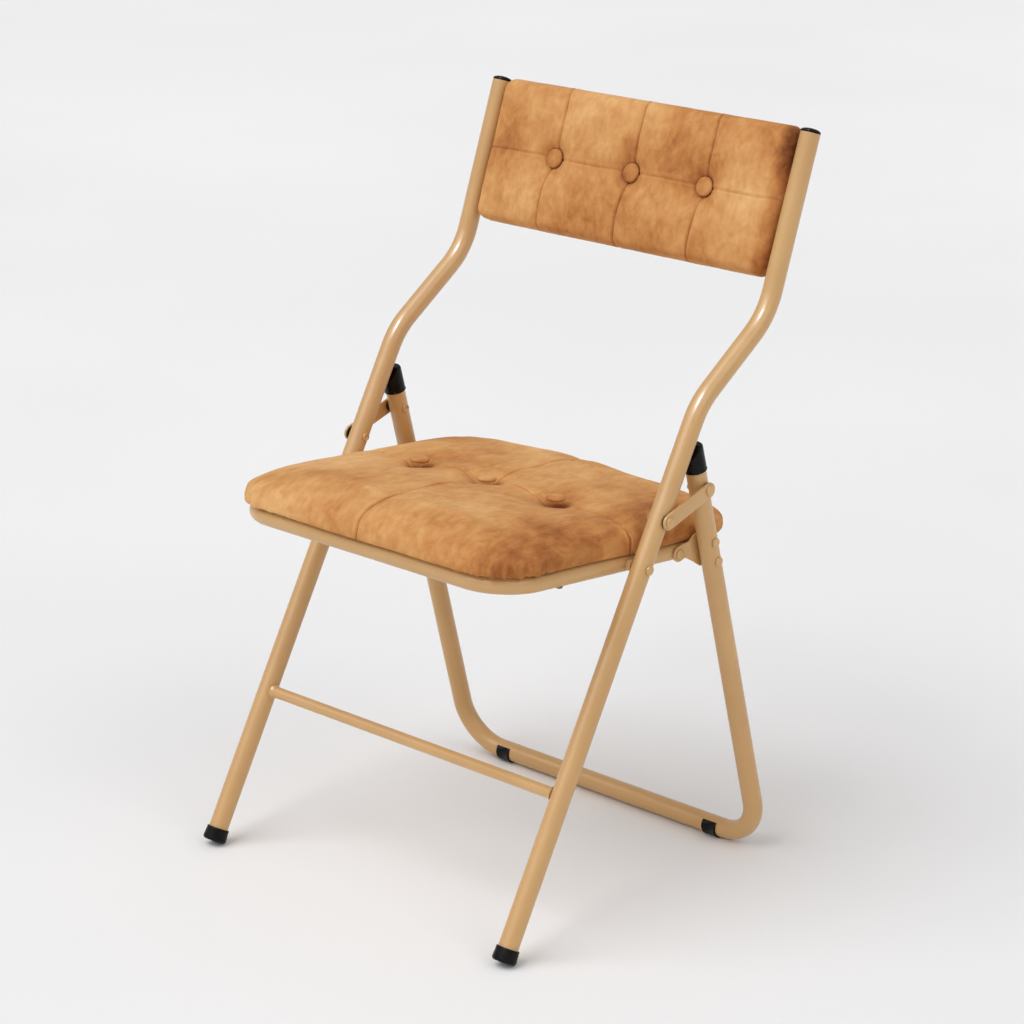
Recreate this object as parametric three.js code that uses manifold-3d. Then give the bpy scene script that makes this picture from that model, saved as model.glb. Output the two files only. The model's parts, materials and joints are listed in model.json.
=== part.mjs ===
// A padded steel folding chair, opened out for sitting.
// Units are millimetres, +Z is up, the floor is z = 0 and the chair faces -Y.
// "left" is -X and "right" is +X, as seen by someone standing in front of the chair.
import * as THREE from 'three';
import { mergeVertices } from 'three/addons/utils/BufferGeometryUtils.js';
import Module from 'manifold-3d';

const wasm = await Module();
wasm.setup();

const deg = THREE.MathUtils.degToRad;

// ---------------------------------------------------------------- driving dimensions
const GAP = 0.3;                 // air left between two pieces that touch
const TRACK = 457;               // left tube centre to right tube centre
const TUBE_RADIUS = 11;
const TUBE_WALL = 1.2;
const TUBE_SIDES = 16;

const LEG_LEAN = deg(28.8);      // front legs lean back as they rise
const KNEE_LEAN = deg(54.8);    // the short stretch between the two bends
const BACK_LEAN = deg(19.5);     // the backrest uprights
const LEG_FLOOR_Y = -238.93;     // where the front leg axis meets the floor
const LOWER_BEND_Z = 547;
const UPPER_BEND_Z = 623;
const TUBE_TOP_Z = 810.5;
const TUBE_BEND_RADIUS = 88;
const FOOT_START = 9.5;          // bare tube end, measured up the leg axis from the floor

const STRETCHER_Z = 164;
const STRETCHER_RADIUS = 6.5;

const REAR_LEAN = deg(14.5);     // rear legs lean forward as they rise
const REAR_BAR_Y = 177.27;
const REAR_BAR_Z = 12.4;
const REAR_BEND_RADIUS = 54;
const REAR_TUBE_LENGTH = 487;    // from the floor bar's axis up to the bare tube end
const GLIDE_X = 163;

const SEAT_PIVOT_Z = 386;        // on the front leg
const LINK_PIVOT_Z = 433.5;      // on the front leg
const LINK_PIVOT_UP_REAR = 456.5;    // up the rear leg
const BRACKET_PIVOT_UP_REAR = 386.5; // up the rear leg ...
const BRACKET_PIVOT_AHEAD = 30.5;    // ... and this far ahead of its axis

const SEAT_TILT = deg(4.35);     // the front edge of the seat is the high one
const RAIL_X = 200.5;
const RAIL_RADIUS = 10;
const RING_FRONT = 181.5;        // ring axis ahead of the seat pivot
const RING_REAR = 166;           // ring axis behind it
const RING_CORNER = 50;

const SEAT_PAD_HALF_WIDTH = 211.5;
const SEAT_PAD_FRONT = 198;
const SEAT_PAD_REAR = 184;
const SEAT_PAD_CORNER = 56;
const SEAT_PAD_THICKNESS = 44;
const SEAT_BOARD_THICKNESS = 6;
const SEAT_BUTTON_X = [-104, 0, 103];
const SEAT_BUTTON_AHEAD = 2;

const BACK_PAD_HALF_WIDTH = 214.5;
const BACK_PAD_TOP = 5;          // above the tube ends, along the uprights
const BACK_PAD_HEIGHT = 165;
const BACK_PAD_THICKNESS = 24;
const BACK_PAD_CORNER = 14;
const BACK_BOARD_THICKNESS = 5;
const BACK_BUTTON_X = [-111, 5, 112];
const BUTTON_RADIUS = 11;

const TAB_THICKNESS = 2.5;
const STRAP_THICKNESS = 3;
const STRAP_HALF_WIDTH = 8.5;
const PLATE_THICKNESS = 2.5;
const BRACKET_NOSE_RADIUS = 8.5;
const BRACKET_RIVETS_UP_REAR = [391.5, 368];
const WASHER_THICKNESS = 1.4;
const RIVET_RADIUS = 3;
const SCREW_RADIUS = 2.4;

// ---------------------------------------------------------------- materials
const steelPaint = [0xc79a5c, 0.42, 0.25];
const rivetPaint = [0xcba067, 0.38, 0.3];
const blackPlastic = [0x101010, 0.35, 0];
const blackRubber = [0x0c0c0c, 0.55, 0];
const darkWasher = [0x2a1f1a, 0.6, 0];
const velvet = [0xc07c38, 0.85, 0];
const velvetButton = [0xb87433, 0.8, 0];
const plywood = [0xb08a5c, 0.8, 0];
const zincSteel = [0xb8bcc0, 0.35, 0.9];

const group = new THREE.Group();
group.name = 'folding_chair';

/** Adds one named solid with its own material. */
function addPiece(name, geometry, [color, roughness, metalness]) {
  const material = new THREE.MeshStandardMaterial({ color, roughness, metalness });
  const mesh = new THREE.Mesh(geometry, material);
  mesh.name = name;
  group.add(mesh);
  return mesh;
}

// ---------------------------------------------------------------- solid helpers
/** A three.js geometry as a manifold solid. */
function toSolid(geometry) {
  const bare = geometry.clone();
  bare.deleteAttribute('normal');
  bare.deleteAttribute('uv');
  const welded = mergeVertices(bare, 1e-4);
  return new wasm.Manifold(new wasm.Mesh({
    numProp: 3,
    vertProperties: new Float32Array(welded.attributes.position.array),
    triVerts: new Uint32Array(welded.index.array),
  }));
}

/** A manifold solid as a three.js geometry with flat-shaded faces. */
function toGeometry(solid) {
  const mesh = solid.getMesh();
  const geometry = new THREE.BufferGeometry();
  geometry.setAttribute('position', new THREE.BufferAttribute(new Float32Array(mesh.vertProperties), 3));
  geometry.setIndex(new THREE.BufferAttribute(new Uint32Array(mesh.triVerts), 1));
  const flat = geometry.toNonIndexed();
  flat.computeVertexNormals();
  return flat;
}

/** The body geometry with every tool geometry cut out of it. */
function cut(body, ...tools) {
  let solid = toSolid(body);
  for (const tool of tools) {
    solid = solid.subtract(toSolid(tool));
  }
  return toGeometry(solid);
}

/** A cylinder along X with its ends at x0 and x1. */
function barAlongX(x0, x1, radius, y, z, sides = 16) {
  const geometry = new THREE.CylinderGeometry(radius, radius, x1 - x0, sides);
  geometry.rotateZ(Math.PI / 2);
  geometry.translate((x0 + x1) / 2, y, z);
  return geometry;
}

/** A flat outline in XY given a thickness along +Z. */
function flatPlate(outline, thickness, curveSegments) {
  return new THREE.ExtrudeGeometry(outline, { depth: thickness, bevelEnabled: false, curveSegments });
}

/** A corner-to-corner path with every inner corner replaced by an arc. */
function roundedPath(corners, bendRadius, steps, closed = false) {
  const path = [];
  const count = corners.length;
  for (let i = 0; i < count; i += 1) {
    const corner = corners[i];
    if (!closed && (i === 0 || i === count - 1)) {
      path.push(corner.clone());
      continue;
    }
    const back = corners[(i + count - 1) % count].clone().sub(corner).normalize();
    const ahead = corners[(i + 1) % count].clone().sub(corner).normalize();
    const half = back.angleTo(ahead) / 2;
    const inward = back.clone().add(ahead).normalize();
    const centre = inward.multiplyScalar(bendRadius / Math.sin(half)).add(corner);
    const start = back.clone().multiplyScalar(bendRadius / Math.tan(half)).add(corner).sub(centre);
    const end = ahead.clone().multiplyScalar(bendRadius / Math.tan(half)).add(corner).sub(centre);
    const turn = start.angleTo(end);
    for (let k = 0; k <= steps; k += 1) {
      const t = k / steps;
      const a = Math.sin((1 - t) * turn) / Math.sin(turn);
      const b = Math.sin(t * turn) / Math.sin(turn);
      path.push(start.clone().multiplyScalar(a).addScaledVector(end, b).add(centre));
    }
  }
  return path;
}

/**
 * A round tube along a path that lies in one plane. planeNormal is square to that plane.
 * With innerRadius the tube is hollow and its ends are open.
 */
function tubeAlong(path, planeNormal, radius, innerRadius = 0, closed = false, sides = TUBE_SIDES) {
  const positions = [];
  const count = path.length;
  const radii = innerRadius > 0 ? [radius, innerRadius] : [radius];
  for (let i = 0; i < count; i += 1) {
    const before = closed || i > 0 ? path[(i + count - 1) % count] : path[i];
    const after = closed || i < count - 1 ? path[(i + 1) % count] : path[i];
    const into = path[i].clone().sub(before);
    const out = after.clone().sub(path[i]);
    const tangent = into.clone().normalize().add(out.clone().normalize()).normalize();
    const straight = out.lengthSq() > 0 ? out : into;
    const mitre = 1 / tangent.dot(straight.normalize());
    const side = planeNormal.clone().cross(tangent).normalize();
    for (const r of radii) {
      for (let j = 0; j < sides; j += 1) {
        const angle = (j / sides) * 2 * Math.PI;
        const p = path[i].clone();
        p.addScaledVector(side, Math.cos(angle) * r * mitre);
        p.addScaledVector(planeNormal, Math.sin(angle) * r);
        positions.push(p.x, p.y, p.z);
      }
    }
  }
  const index = [];
  const shells = radii.length;
  const at = (i, shell, j) => (i % count) * sides * shells + shell * sides + (j % sides);
  const quad = (a, b, c, d) => index.push(a, b, c, a, c, d);
  const spans = closed ? count : count - 1;
  for (let i = 0; i < spans; i += 1) {
    for (let j = 0; j < sides; j += 1) {
      quad(at(i, 0, j), at(i, 0, j + 1), at(i + 1, 0, j + 1), at(i + 1, 0, j));
      if (shells === 2) {
        quad(at(i, 1, j), at(i + 1, 1, j), at(i + 1, 1, j + 1), at(i, 1, j + 1));
      }
    }
  }
  if (!closed) {
    const last = count - 1;
    for (let j = 0; j < sides; j += 1) {
      if (shells === 2) {
        quad(at(0, 0, j), at(0, 1, j), at(0, 1, j + 1), at(0, 0, j + 1));
        quad(at(last, 0, j), at(last, 0, j + 1), at(last, 1, j + 1), at(last, 1, j));
      } else if (j > 0 && j < sides - 1) {
        index.push(at(0, 0, 0), at(0, 0, j + 1), at(0, 0, j));
        index.push(at(last, 0, 0), at(last, 0, j), at(last, 0, j + 1));
      }
    }
  }
  const geometry = new THREE.BufferGeometry();
  geometry.setAttribute('position', new THREE.Float32BufferAttribute(positions, 3));
  geometry.setIndex(index);
  const flat = geometry.toNonIndexed();
  flat.computeVertexNormals();
  return flat;
}

/** A turned piece. The profile is [radius, height] pairs and runs along +Y before it is placed. */
function turned(profile, sides = 12) {
  const points = profile.map(([r, h]) => new THREE.Vector2(r, h));
  return new THREE.LatheGeometry(points, sides);
}

/** Turns a +Y piece so that it points along direction, then moves it to origin. */
function aim(geometry, direction, origin) {
  const turn = new THREE.Quaternion();
  turn.setFromUnitVectors(new THREE.Vector3(0, 1, 0), direction.clone().normalize());
  geometry.applyQuaternion(turn);
  geometry.translate(origin.x, origin.y, origin.z);
  return geometry;
}

/** A flat plate in the YZ plane between x0 and x1, from a 2-D outline of [y, z]. */
function plateAcrossX(shape, x0, x1, curveSegments = 8) {
  const geometry = new THREE.ExtrudeGeometry(shape, { depth: x1 - x0, bevelEnabled: false, curveSegments });
  const turn = new THREE.Matrix4().makeBasis(
    new THREE.Vector3(0, 1, 0), new THREE.Vector3(0, 0, 1), new THREE.Vector3(1, 0, 0));
  geometry.applyMatrix4(turn);
  geometry.translate(x0, 0, 0);
  return geometry;
}

/** A rectangle with rounded corners, centred on centreY. */
function roundedRectangle(halfWidth, low, high, corner) {
  const shape = new THREE.Shape();
  shape.moveTo(halfWidth, high - corner);
  shape.absarc(halfWidth - corner, high - corner, corner, 0, Math.PI / 2);
  shape.absarc(-halfWidth + corner, high - corner, corner, Math.PI / 2, Math.PI);
  shape.absarc(-halfWidth + corner, low + corner, corner, Math.PI, 1.5 * Math.PI);
  shape.absarc(halfWidth - corner, low + corner, corner, 1.5 * Math.PI, 2 * Math.PI);
  return shape;
}

// ---------------------------------------------------------------- places on the chair
const legDirection = new THREE.Vector3(0, Math.sin(LEG_LEAN), Math.cos(LEG_LEAN));
const rearDirection = new THREE.Vector3(0, -Math.sin(REAR_LEAN), Math.cos(REAR_LEAN));
const rearBackward = new THREE.Vector3(0, Math.cos(REAR_LEAN), Math.sin(REAR_LEAN));
const backDirection = new THREE.Vector3(0, Math.sin(BACK_LEAN), Math.cos(BACK_LEAN));
const backForward = new THREE.Vector3(0, -Math.cos(BACK_LEAN), Math.sin(BACK_LEAN));
const xAxis = new THREE.Vector3(1, 0, 0);

/** The point on the front leg's axis at height z. */
function onFrontLeg(z, x = 0) {
  return new THREE.Vector3(x, LEG_FLOOR_Y + Math.tan(LEG_LEAN) * z, z);
}

/** The point up the rear leg from its floor bar, and backward from its axis. */
function onRearLeg(up, backward = 0, x = 0) {
  const p = new THREE.Vector3(x, REAR_BAR_Y, REAR_BAR_Z);
  return p.addScaledVector(rearDirection, up).addScaledVector(rearBackward, backward);
}

const seatPivot = onFrontLeg(SEAT_PIVOT_Z);
const linkPivot = onFrontLeg(LINK_PIVOT_Z);
const linkRearPivot = onRearLeg(LINK_PIVOT_UP_REAR);
const bracketPivot = onRearLeg(BRACKET_PIVOT_UP_REAR, -BRACKET_PIVOT_AHEAD);
const bracketRivets = BRACKET_RIVETS_UP_REAR.map((up) => onRearLeg(up));

const lowerBend = onFrontLeg(LOWER_BEND_Z);
const upperBend = new THREE.Vector3(
  0, lowerBend.y + Math.tan(KNEE_LEAN) * (UPPER_BEND_Z - LOWER_BEND_Z), UPPER_BEND_Z);
const tubeTop = new THREE.Vector3(
  0, upperBend.y + Math.tan(BACK_LEAN) * (TUBE_TOP_Z - UPPER_BEND_Z), TUBE_TOP_Z);

/** Places a piece drawn in the backrest's own frame: x, up the uprights, forward of their axes. */
function onBackrest(geometry) {
  const frame = new THREE.Matrix4().makeBasis(xAxis, backDirection, backForward);
  frame.setPosition(tubeTop);
  return geometry.applyMatrix4(frame);
}

/** Places a piece drawn in the seat's own frame: x, backward from the pivot, up from the ring axis. */
function onSeat(geometry) {
  const frame = new THREE.Matrix4().makeRotationX(-SEAT_TILT);
  frame.setPosition(seatPivot);
  return geometry.applyMatrix4(frame);
}

const sides = [['left', -1], ['right', 1]];
const innerFaceX = TRACK / 2 - TUBE_RADIUS;
const outerFaceX = TRACK / 2 + TUBE_RADIUS;
const washerX = outerFaceX + GAP;
const linkX = washerX + WASHER_THICKNESS + GAP;
const linkOuterX = linkX + STRAP_THICKNESS;
const railOuterX = RAIL_X + RAIL_RADIUS;
const noseX = railOuterX + GAP;
const plateX = innerFaceX - GAP - PLATE_THICKNESS;

/** A through hole along X for a rivet. */
function rivetHole(at, side, x0, x1) {
  const low = Math.min(side * x0, side * x1);
  const high = Math.max(side * x0, side * x1);
  return barAlongX(low, high, RIVET_RADIUS + GAP + 0.1, at.y, at.z, 12);
}

/** A flat ring around X, such as a washer or a spacer, between x0 and x1. */
function ringAcrossX(at, side, x0, x1, radius) {
  const low = Math.min(side * x0, side * x1);
  const high = Math.max(side * x0, side * x1);
  const body = barAlongX(low, high, radius, at.y, at.z, 20);
  const hole = barAlongX(low - 1, high + 1, RIVET_RADIUS + GAP + 0.1, at.y, at.z, 12);
  return cut(body, hole);
}

/** A rivet along X: a domed head at headX, a shank, and a rolled tail at tailX (0 leaves it plain). */
function rivet(at, side, headX, tailX, headRadius, tailRadius) {
  const length = headX - tailX;
  const dome = 2.4;
  const profile = [];
  if (tailRadius > 0) {
    profile.push([0, -0.8], [1.4, -0.8], [tailRadius - 1, -1.6]);
    profile.push([tailRadius, -1], [tailRadius, 0], [RIVET_RADIUS, 0]);
  } else {
    profile.push([0, 0], [RIVET_RADIUS, 0]);
  }
  profile.push([RIVET_RADIUS, length], [headRadius, length], [headRadius, length + 0.6]);
  for (const t of [0.35, 0.7]) {
    const angle = t * Math.PI / 2;
    profile.push([headRadius * Math.cos(angle), length + 0.6 + (dome - 0.6) * Math.sin(angle)]);
  }
  profile.push([0, length + dome]);
  return aim(turned(profile), new THREE.Vector3(side, 0, 0), new THREE.Vector3(side * tailX, at.y, at.z));
}

// ---------------------------------------------------------------- front frame
/** One long side tube: front leg, knee bends and backrest upright in one piece. */
function mainTube(side) {
  const x = side * TRACK / 2;
  const foot = onFrontLeg(FOOT_START * Math.cos(LEG_LEAN));
  const corners = [foot, lowerBend, upperBend, tubeTop].map((p) => new THREE.Vector3(x, p.y, p.z));
  const path = roundedPath(corners, TUBE_BEND_RADIUS, 5);
  const tube = tubeAlong(path, xAxis, TUBE_RADIUS, TUBE_RADIUS - TUBE_WALL);
  const holes = [seatPivot, linkPivot].map((p) => rivetHole(p, side, innerFaceX - 5, outerFaceX + 5));
  return cut(tube, ...holes);
}

/** Thin cross tube between the front legs, coped to fit against them. */
function frontStretcher() {
  const at = onFrontLeg(STRETCHER_Z);
  const reach = TRACK / 2 - 4;
  const path = [new THREE.Vector3(-reach, at.y, at.z), new THREE.Vector3(reach, at.y, at.z)];
  const tube = tubeAlong(path, new THREE.Vector3(0, 0, 1), STRETCHER_RADIUS, STRETCHER_RADIUS - 1, false, 14);
  const copes = sides.map(([, side]) => {
    const cope = new THREE.CylinderGeometry(TUBE_RADIUS + GAP, TUBE_RADIUS + GAP, 60, 36);
    const start = at.clone().setX(side * TRACK / 2);
    return aim(cope, legDirection, start);
  });
  return cut(tube, ...copes);
}

/** Rubber foot pushed over the end of a front leg, with a small worn flat on the floor. */
function frontFoot(side) {
  const bore = TUBE_RADIUS + GAP;
  const sole = 5.4;
  const top = 21;
  const profile = [
    [0, sole], [10.5, sole], [12.6, sole + 0.9], [13.5, sole + 3],
    [12.5, top - 0.8], [12.1, top], [bore, top],
    [bore, FOOT_START - GAP], [0, FOOT_START - GAP],
  ];
  const cup = aim(turned(profile, 24), legDirection, onFrontLeg(0, side * TRACK / 2));
  const underFloor = new THREE.BoxGeometry(60, 60, 20);
  underFloor.translate(side * TRACK / 2, LEG_FLOOR_Y, -10);
  return cut(cup, underFloor);
}

/** Plastic plug in the open top of a side tube: a shallow dome with a stem below it. */
function topPlug(side) {
  const stem = TUBE_RADIUS - TUBE_WALL - GAP;
  const rim = 2;
  const dome = 5.2;
  const profile = [
    [0, -12], [stem - 1, -12], [stem, -10.5], [stem, GAP], [TUBE_RADIUS, GAP], [TUBE_RADIUS, rim],
  ];
  for (const t of [0.25, 0.5, 0.75]) {
    const angle = t * Math.PI / 2;
    profile.push([TUBE_RADIUS * Math.cos(angle), rim + (dome - rim) * Math.sin(angle)]);
  }
  profile.push([0, dome]);
  return aim(turned(profile, 20), backDirection, tubeTop.clone().setX(side * TRACK / 2));
}

for (const [word, side] of sides) {
  addPiece(`main_tube_${word}`, mainTube(side), steelPaint);
  addPiece(`front_foot_${word}`, frontFoot(side), blackRubber);
  addPiece(`top_plug_${word}`, topPlug(side), blackPlastic);
}
addPiece('front_stretcher', frontStretcher(), steelPaint);

// ---------------------------------------------------------------- backrest
const backPadBottom = BACK_PAD_TOP - BACK_PAD_HEIGHT;
const backPadMiddle = BACK_PAD_TOP - BACK_PAD_HEIGHT / 2;
const tabFront = -TUBE_RADIUS - GAP;
const boardBack = tabFront + GAP;
const boardFront = boardBack + BACK_BOARD_THICKNESS;
const tabLevels = [['upper', backPadMiddle + 48], ['lower', backPadMiddle - 48]];
const backScrewX = TRACK / 2 - 30;

/** A hole for a screw along Z, centred on (x, y, z). */
function screwHole(x, y, z, length = 20) {
  const hole = new THREE.CylinderGeometry(SCREW_RADIUS + GAP + 0.1, SCREW_RADIUS + GAP + 0.1, length, 12);
  hole.rotateX(Math.PI / 2);
  hole.translate(x, y, z);
  return hole;
}

/** Plywood panel inside the back of the pad. */
function backBoard() {
  const outline = roundedRectangle(
    BACK_PAD_HALF_WIDTH - 3, backPadBottom + 3, BACK_PAD_TOP - 3, BACK_PAD_CORNER - 3);
  const board = flatPlate(outline, BACK_BOARD_THICKNESS, 4);
  board.translate(0, 0, boardBack);
  const holes = [];
  for (const [, level] of tabLevels) {
    for (const [, side] of sides) {
      holes.push(screwHole(side * backScrewX, level, boardBack));
    }
  }
  return onBackrest(cut(board, ...holes));
}

/** A padded slab with softened edges and a cupped hollow under every button. */
function padSlab(outline, thickness, edge, buttonPlaces, cupDepth, cupRadius) {
  const slab = new THREE.ExtrudeGeometry(outline, {
    depth: thickness - 2 * edge,
    bevelEnabled: true,
    bevelThickness: edge,
    bevelSize: edge,
    bevelOffset: -edge,
    bevelSegments: 3,
    curveSegments: 6,
  });
  slab.translate(0, 0, edge);
  const cups = buttonPlaces.map(([x, y]) => {
    const cup = new THREE.CylinderGeometry(cupRadius, BUTTON_RADIUS + 1, cupDepth + 1, 20);
    cup.rotateX(Math.PI / 2);
    cup.translate(x, y, thickness - cupDepth / 2 + 0.5);
    return cup;
  });
  return cut(slab, ...cups);
}

/** A covered button: a domed disc, drawn lying flat with its face towards +Z. */
function button(x, y, z) {
  const profile = [[0, 0], [BUTTON_RADIUS - 1, 0], [BUTTON_RADIUS, 1.2], [BUTTON_RADIUS, 2.2]];
  for (const t of [0.35, 0.7]) {
    const angle = t * Math.PI / 2;
    profile.push([BUTTON_RADIUS * Math.cos(angle), 2.2 + 2.8 * Math.sin(angle)]);
  }
  profile.push([0, 5]);
  const disc = turned(profile, 20);
  disc.rotateX(Math.PI / 2);
  disc.translate(x, y, z);
  return disc;
}

/** Pan-head screw drawn with its head at z = 0 and its shank towards +Z. */
function screw(x, y, z, length) {
  const profile = [
    [0, -2], [2.4, -2], [3.9, -1.1], [4.2, 0], [SCREW_RADIUS, 0], [SCREW_RADIUS, length - 0.8],
    [SCREW_RADIUS - 0.7, length], [0, length],
  ];
  const body = turned(profile, 12);
  body.rotateX(Math.PI / 2);
  body.translate(x, y, z);
  return body;
}

/** Small welded tab behind a backrest upright that carries one screw. */
function backTab(side, level) {
  const halfLength = 19;
  const outline = roundedRectangle(halfLength, level - 10, level + 10, 5);
  const tab = flatPlate(outline, TAB_THICKNESS, 4);
  tab.translate(side * (TRACK / 2 - halfLength), 0, tabFront - TAB_THICKNESS);
  return onBackrest(cut(tab, screwHole(side * backScrewX, level, tabFront)));
}

addPiece('back_board', backBoard(), plywood);
{
  const outline = roundedRectangle(BACK_PAD_HALF_WIDTH, backPadBottom, BACK_PAD_TOP, BACK_PAD_CORNER);
  const places = BACK_BUTTON_X.map((x) => [x, backPadMiddle]);
  const cupDepth = 9;
  const pad = padSlab(outline, BACK_PAD_THICKNESS, 6, places, cupDepth, 24);
  const padBack = boardFront + GAP;
  pad.translate(0, 0, padBack);
  addPiece('back_cushion', onBackrest(pad), velvet);
  BACK_BUTTON_X.forEach((x, i) => {
    const disc = button(x, backPadMiddle, padBack + BACK_PAD_THICKNESS - cupDepth + GAP);
    addPiece(`back_button_${i + 1}`, onBackrest(disc), velvetButton);
  });
}
for (const [word, side] of sides) {
  for (const [height, level] of tabLevels) {
    addPiece(`back_tab_${height}_${word}`, backTab(side, level), steelPaint);
    const headSeat = tabFront - TAB_THICKNESS - GAP;
    const reach = TAB_THICKNESS + BACK_BOARD_THICKNESS;
    const body = screw(side * backScrewX, level, headSeat, reach);
    addPiece(`back_screw_${height}_${word}`, onBackrest(body), zincSteel);
  }
}

// ---------------------------------------------------------------- rear leg frame
/** One tube bent into a U: two rear legs and the bar across the floor. */
function rearLegFrame() {
  const half = TRACK / 2;
  const corners = [
    onRearLeg(REAR_TUBE_LENGTH, 0, -half), onRearLeg(0, 0, -half),
    onRearLeg(0, 0, half), onRearLeg(REAR_TUBE_LENGTH, 0, half),
  ];
  const path = roundedPath(corners, REAR_BEND_RADIUS, 6);
  const tube = tubeAlong(path, rearBackward, TUBE_RADIUS, TUBE_RADIUS - TUBE_WALL);
  const holes = [];
  for (const [, side] of sides) {
    for (const at of [linkRearPivot, ...bracketRivets]) {
      holes.push(rivetHole(at, side, innerFaceX - 5, outerFaceX + 5));
    }
  }
  return cut(tube, ...holes);
}

/** Plastic cap on a rear leg. Its slanted front rests against the front leg when the chair is open. */
function rearCap(side) {
  const bore = TUBE_RADIUS + GAP;
  const rim = 478;
  const top = 508;
  const profile = [
    [0, REAR_TUBE_LENGTH + GAP], [bore, REAR_TUBE_LENGTH + GAP], [bore, rim], [12.6, rim], [12.7, rim + 1.5],
    [12.2, rim + 3], [12, top - 4], [11.2, top - 1.4], [9.2, top], [0, top],
  ];
  const cap = aim(turned(profile, 24), rearDirection, onRearLeg(0, 0, side * TRACK / 2));
  const legSpace = new THREE.BoxGeometry(60, 60, 120);
  legSpace.translate(0, TUBE_RADIUS + GAP - 30, 0);
  legSpace.rotateX(-LEG_LEAN);
  const near = onFrontLeg(onRearLeg(top).z, side * TRACK / 2);
  legSpace.translate(near.x, near.y, near.z);
  return cut(cap, legSpace);
}

/** C-shaped plastic glide clipped under the floor bar, open at the top and flat underneath. */
function floorGlide(side) {
  const inner = TUBE_RADIUS + GAP;
  const outer = inner + 1.5;
  const opening = deg(50);
  const outline = new THREE.Shape();
  outline.absarc(0, 0, outer, Math.PI / 2 + opening, 2.5 * Math.PI - opening);
  outline.absarc(0, 0, inner, 2.5 * Math.PI - opening, Math.PI / 2 + opening, true);
  const clip = plateAcrossX(outline, -10, 10, 16);
  clip.translate(side * GLIDE_X, REAR_BAR_Y, REAR_BAR_Z);
  const underFloor = new THREE.BoxGeometry(60, 60, 20);
  underFloor.translate(side * GLIDE_X, REAR_BAR_Y, -10);
  return cut(clip, underFloor);
}

/**
 * Plate on the inner face of a rear leg. It steps inward as it comes forward, so that its
 * rounded nose lies flat against the seat rail.
 */
function bracket(side) {
  const place = (up, backward) => {
    const p = onRearLeg(up, backward);
    return [p.y, p.z];
  };
  const noseTop = BRACKET_PIVOT_UP_REAR + BRACKET_NOSE_RADIUS;
  const noseBottom = BRACKET_PIVOT_UP_REAR - BRACKET_NOSE_RADIUS;
  const outline = new THREE.Shape();
  outline.moveTo(...place(399, 4));
  outline.lineTo(...place(399, -8));
  outline.lineTo(...place(noseTop, -18));
  outline.absarc(bracketPivot.y, bracketPivot.z, BRACKET_NOSE_RADIUS,
    Math.PI / 2 + REAR_LEAN, 1.5 * Math.PI + REAR_LEAN);
  outline.lineTo(...place(noseBottom, -22));
  outline.lineTo(...place(360, -6));
  outline.lineTo(...place(360, 4));
  const low = Math.min(side * noseX, side * (innerFaceX - GAP));
  const block = plateAcrossX(outline, low, low + innerFaceX - GAP - noseX);

  const stepped = new THREE.Shape();
  const section = [
    [-45, noseX], [-22, noseX], [-15, plateX], [10, plateX],
    [10, plateX + PLATE_THICKNESS], [-16, plateX + PLATE_THICKNESS],
    [-23, noseX + PLATE_THICKNESS], [-45, noseX + PLATE_THICKNESS],
  ];
  stepped.setFromPoints(section.map(([backward, x]) => new THREE.Vector2(backward, side * x)));
  const sheet = new THREE.ExtrudeGeometry(stepped, { depth: 60, bevelEnabled: false });
  const frame = new THREE.Matrix4().makeBasis(rearBackward, xAxis, rearDirection.clone().negate());
  frame.setPosition(onRearLeg(410));
  sheet.applyMatrix4(frame);

  const plate = toGeometry(toSolid(block).intersect(toSolid(sheet)));
  const holes = [bracketPivot, ...bracketRivets].map((p) => rivetHole(p, side, noseX - 3, innerFaceX + 3));
  return cut(plate, ...holes);
}

/** Flat strap with round ends and two holes, from the front leg to the rear leg. */
function link(side) {
  const along = linkRearPivot.clone().sub(linkPivot);
  const angle = Math.atan2(along.z, along.y);
  const outline = new THREE.Shape();
  outline.absarc(linkPivot.y, linkPivot.z, STRAP_HALF_WIDTH, angle + Math.PI / 2, angle + 1.5 * Math.PI);
  const { y, z } = linkRearPivot;
  outline.absarc(y, z, STRAP_HALF_WIDTH, angle - Math.PI / 2, angle + Math.PI / 2);
  const x0 = side > 0 ? linkX : -linkOuterX;
  const strap = plateAcrossX(outline, x0, x0 + STRAP_THICKNESS);
  const holes = [linkPivot, linkRearPivot].map((p) => rivetHole(p, side, linkX - 3, linkOuterX + 3));
  return cut(strap, ...holes);
}

addPiece('rear_leg_frame', rearLegFrame(), steelPaint);
for (const [word, side] of sides) {
  addPiece(`rear_cap_${word}`, rearCap(side), blackPlastic);
  addPiece(`floor_glide_${word}`, floorGlide(side), blackPlastic);
  addPiece(`bracket_${word}`, bracket(side), steelPaint);
  bracketRivets.forEach((at, i) => {
    const body = rivet(at, side, outerFaceX + GAP, plateX - GAP, 5.3, 4.6);
    addPiece(`bracket_rivet_${i === 0 ? 'upper' : 'lower'}_${word}`, body, rivetPaint);
  });
  addPiece(`link_${word}`, link(side), steelPaint);
  const washerEnd = washerX + WASHER_THICKNESS;
  addPiece(`link_washer_front_${word}`, ringAcrossX(linkPivot, side, washerX, washerEnd, 8), darkWasher);
  addPiece(`link_washer_rear_${word}`, ringAcrossX(linkRearPivot, side, washerX, washerEnd, 8), darkWasher);
}

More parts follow.
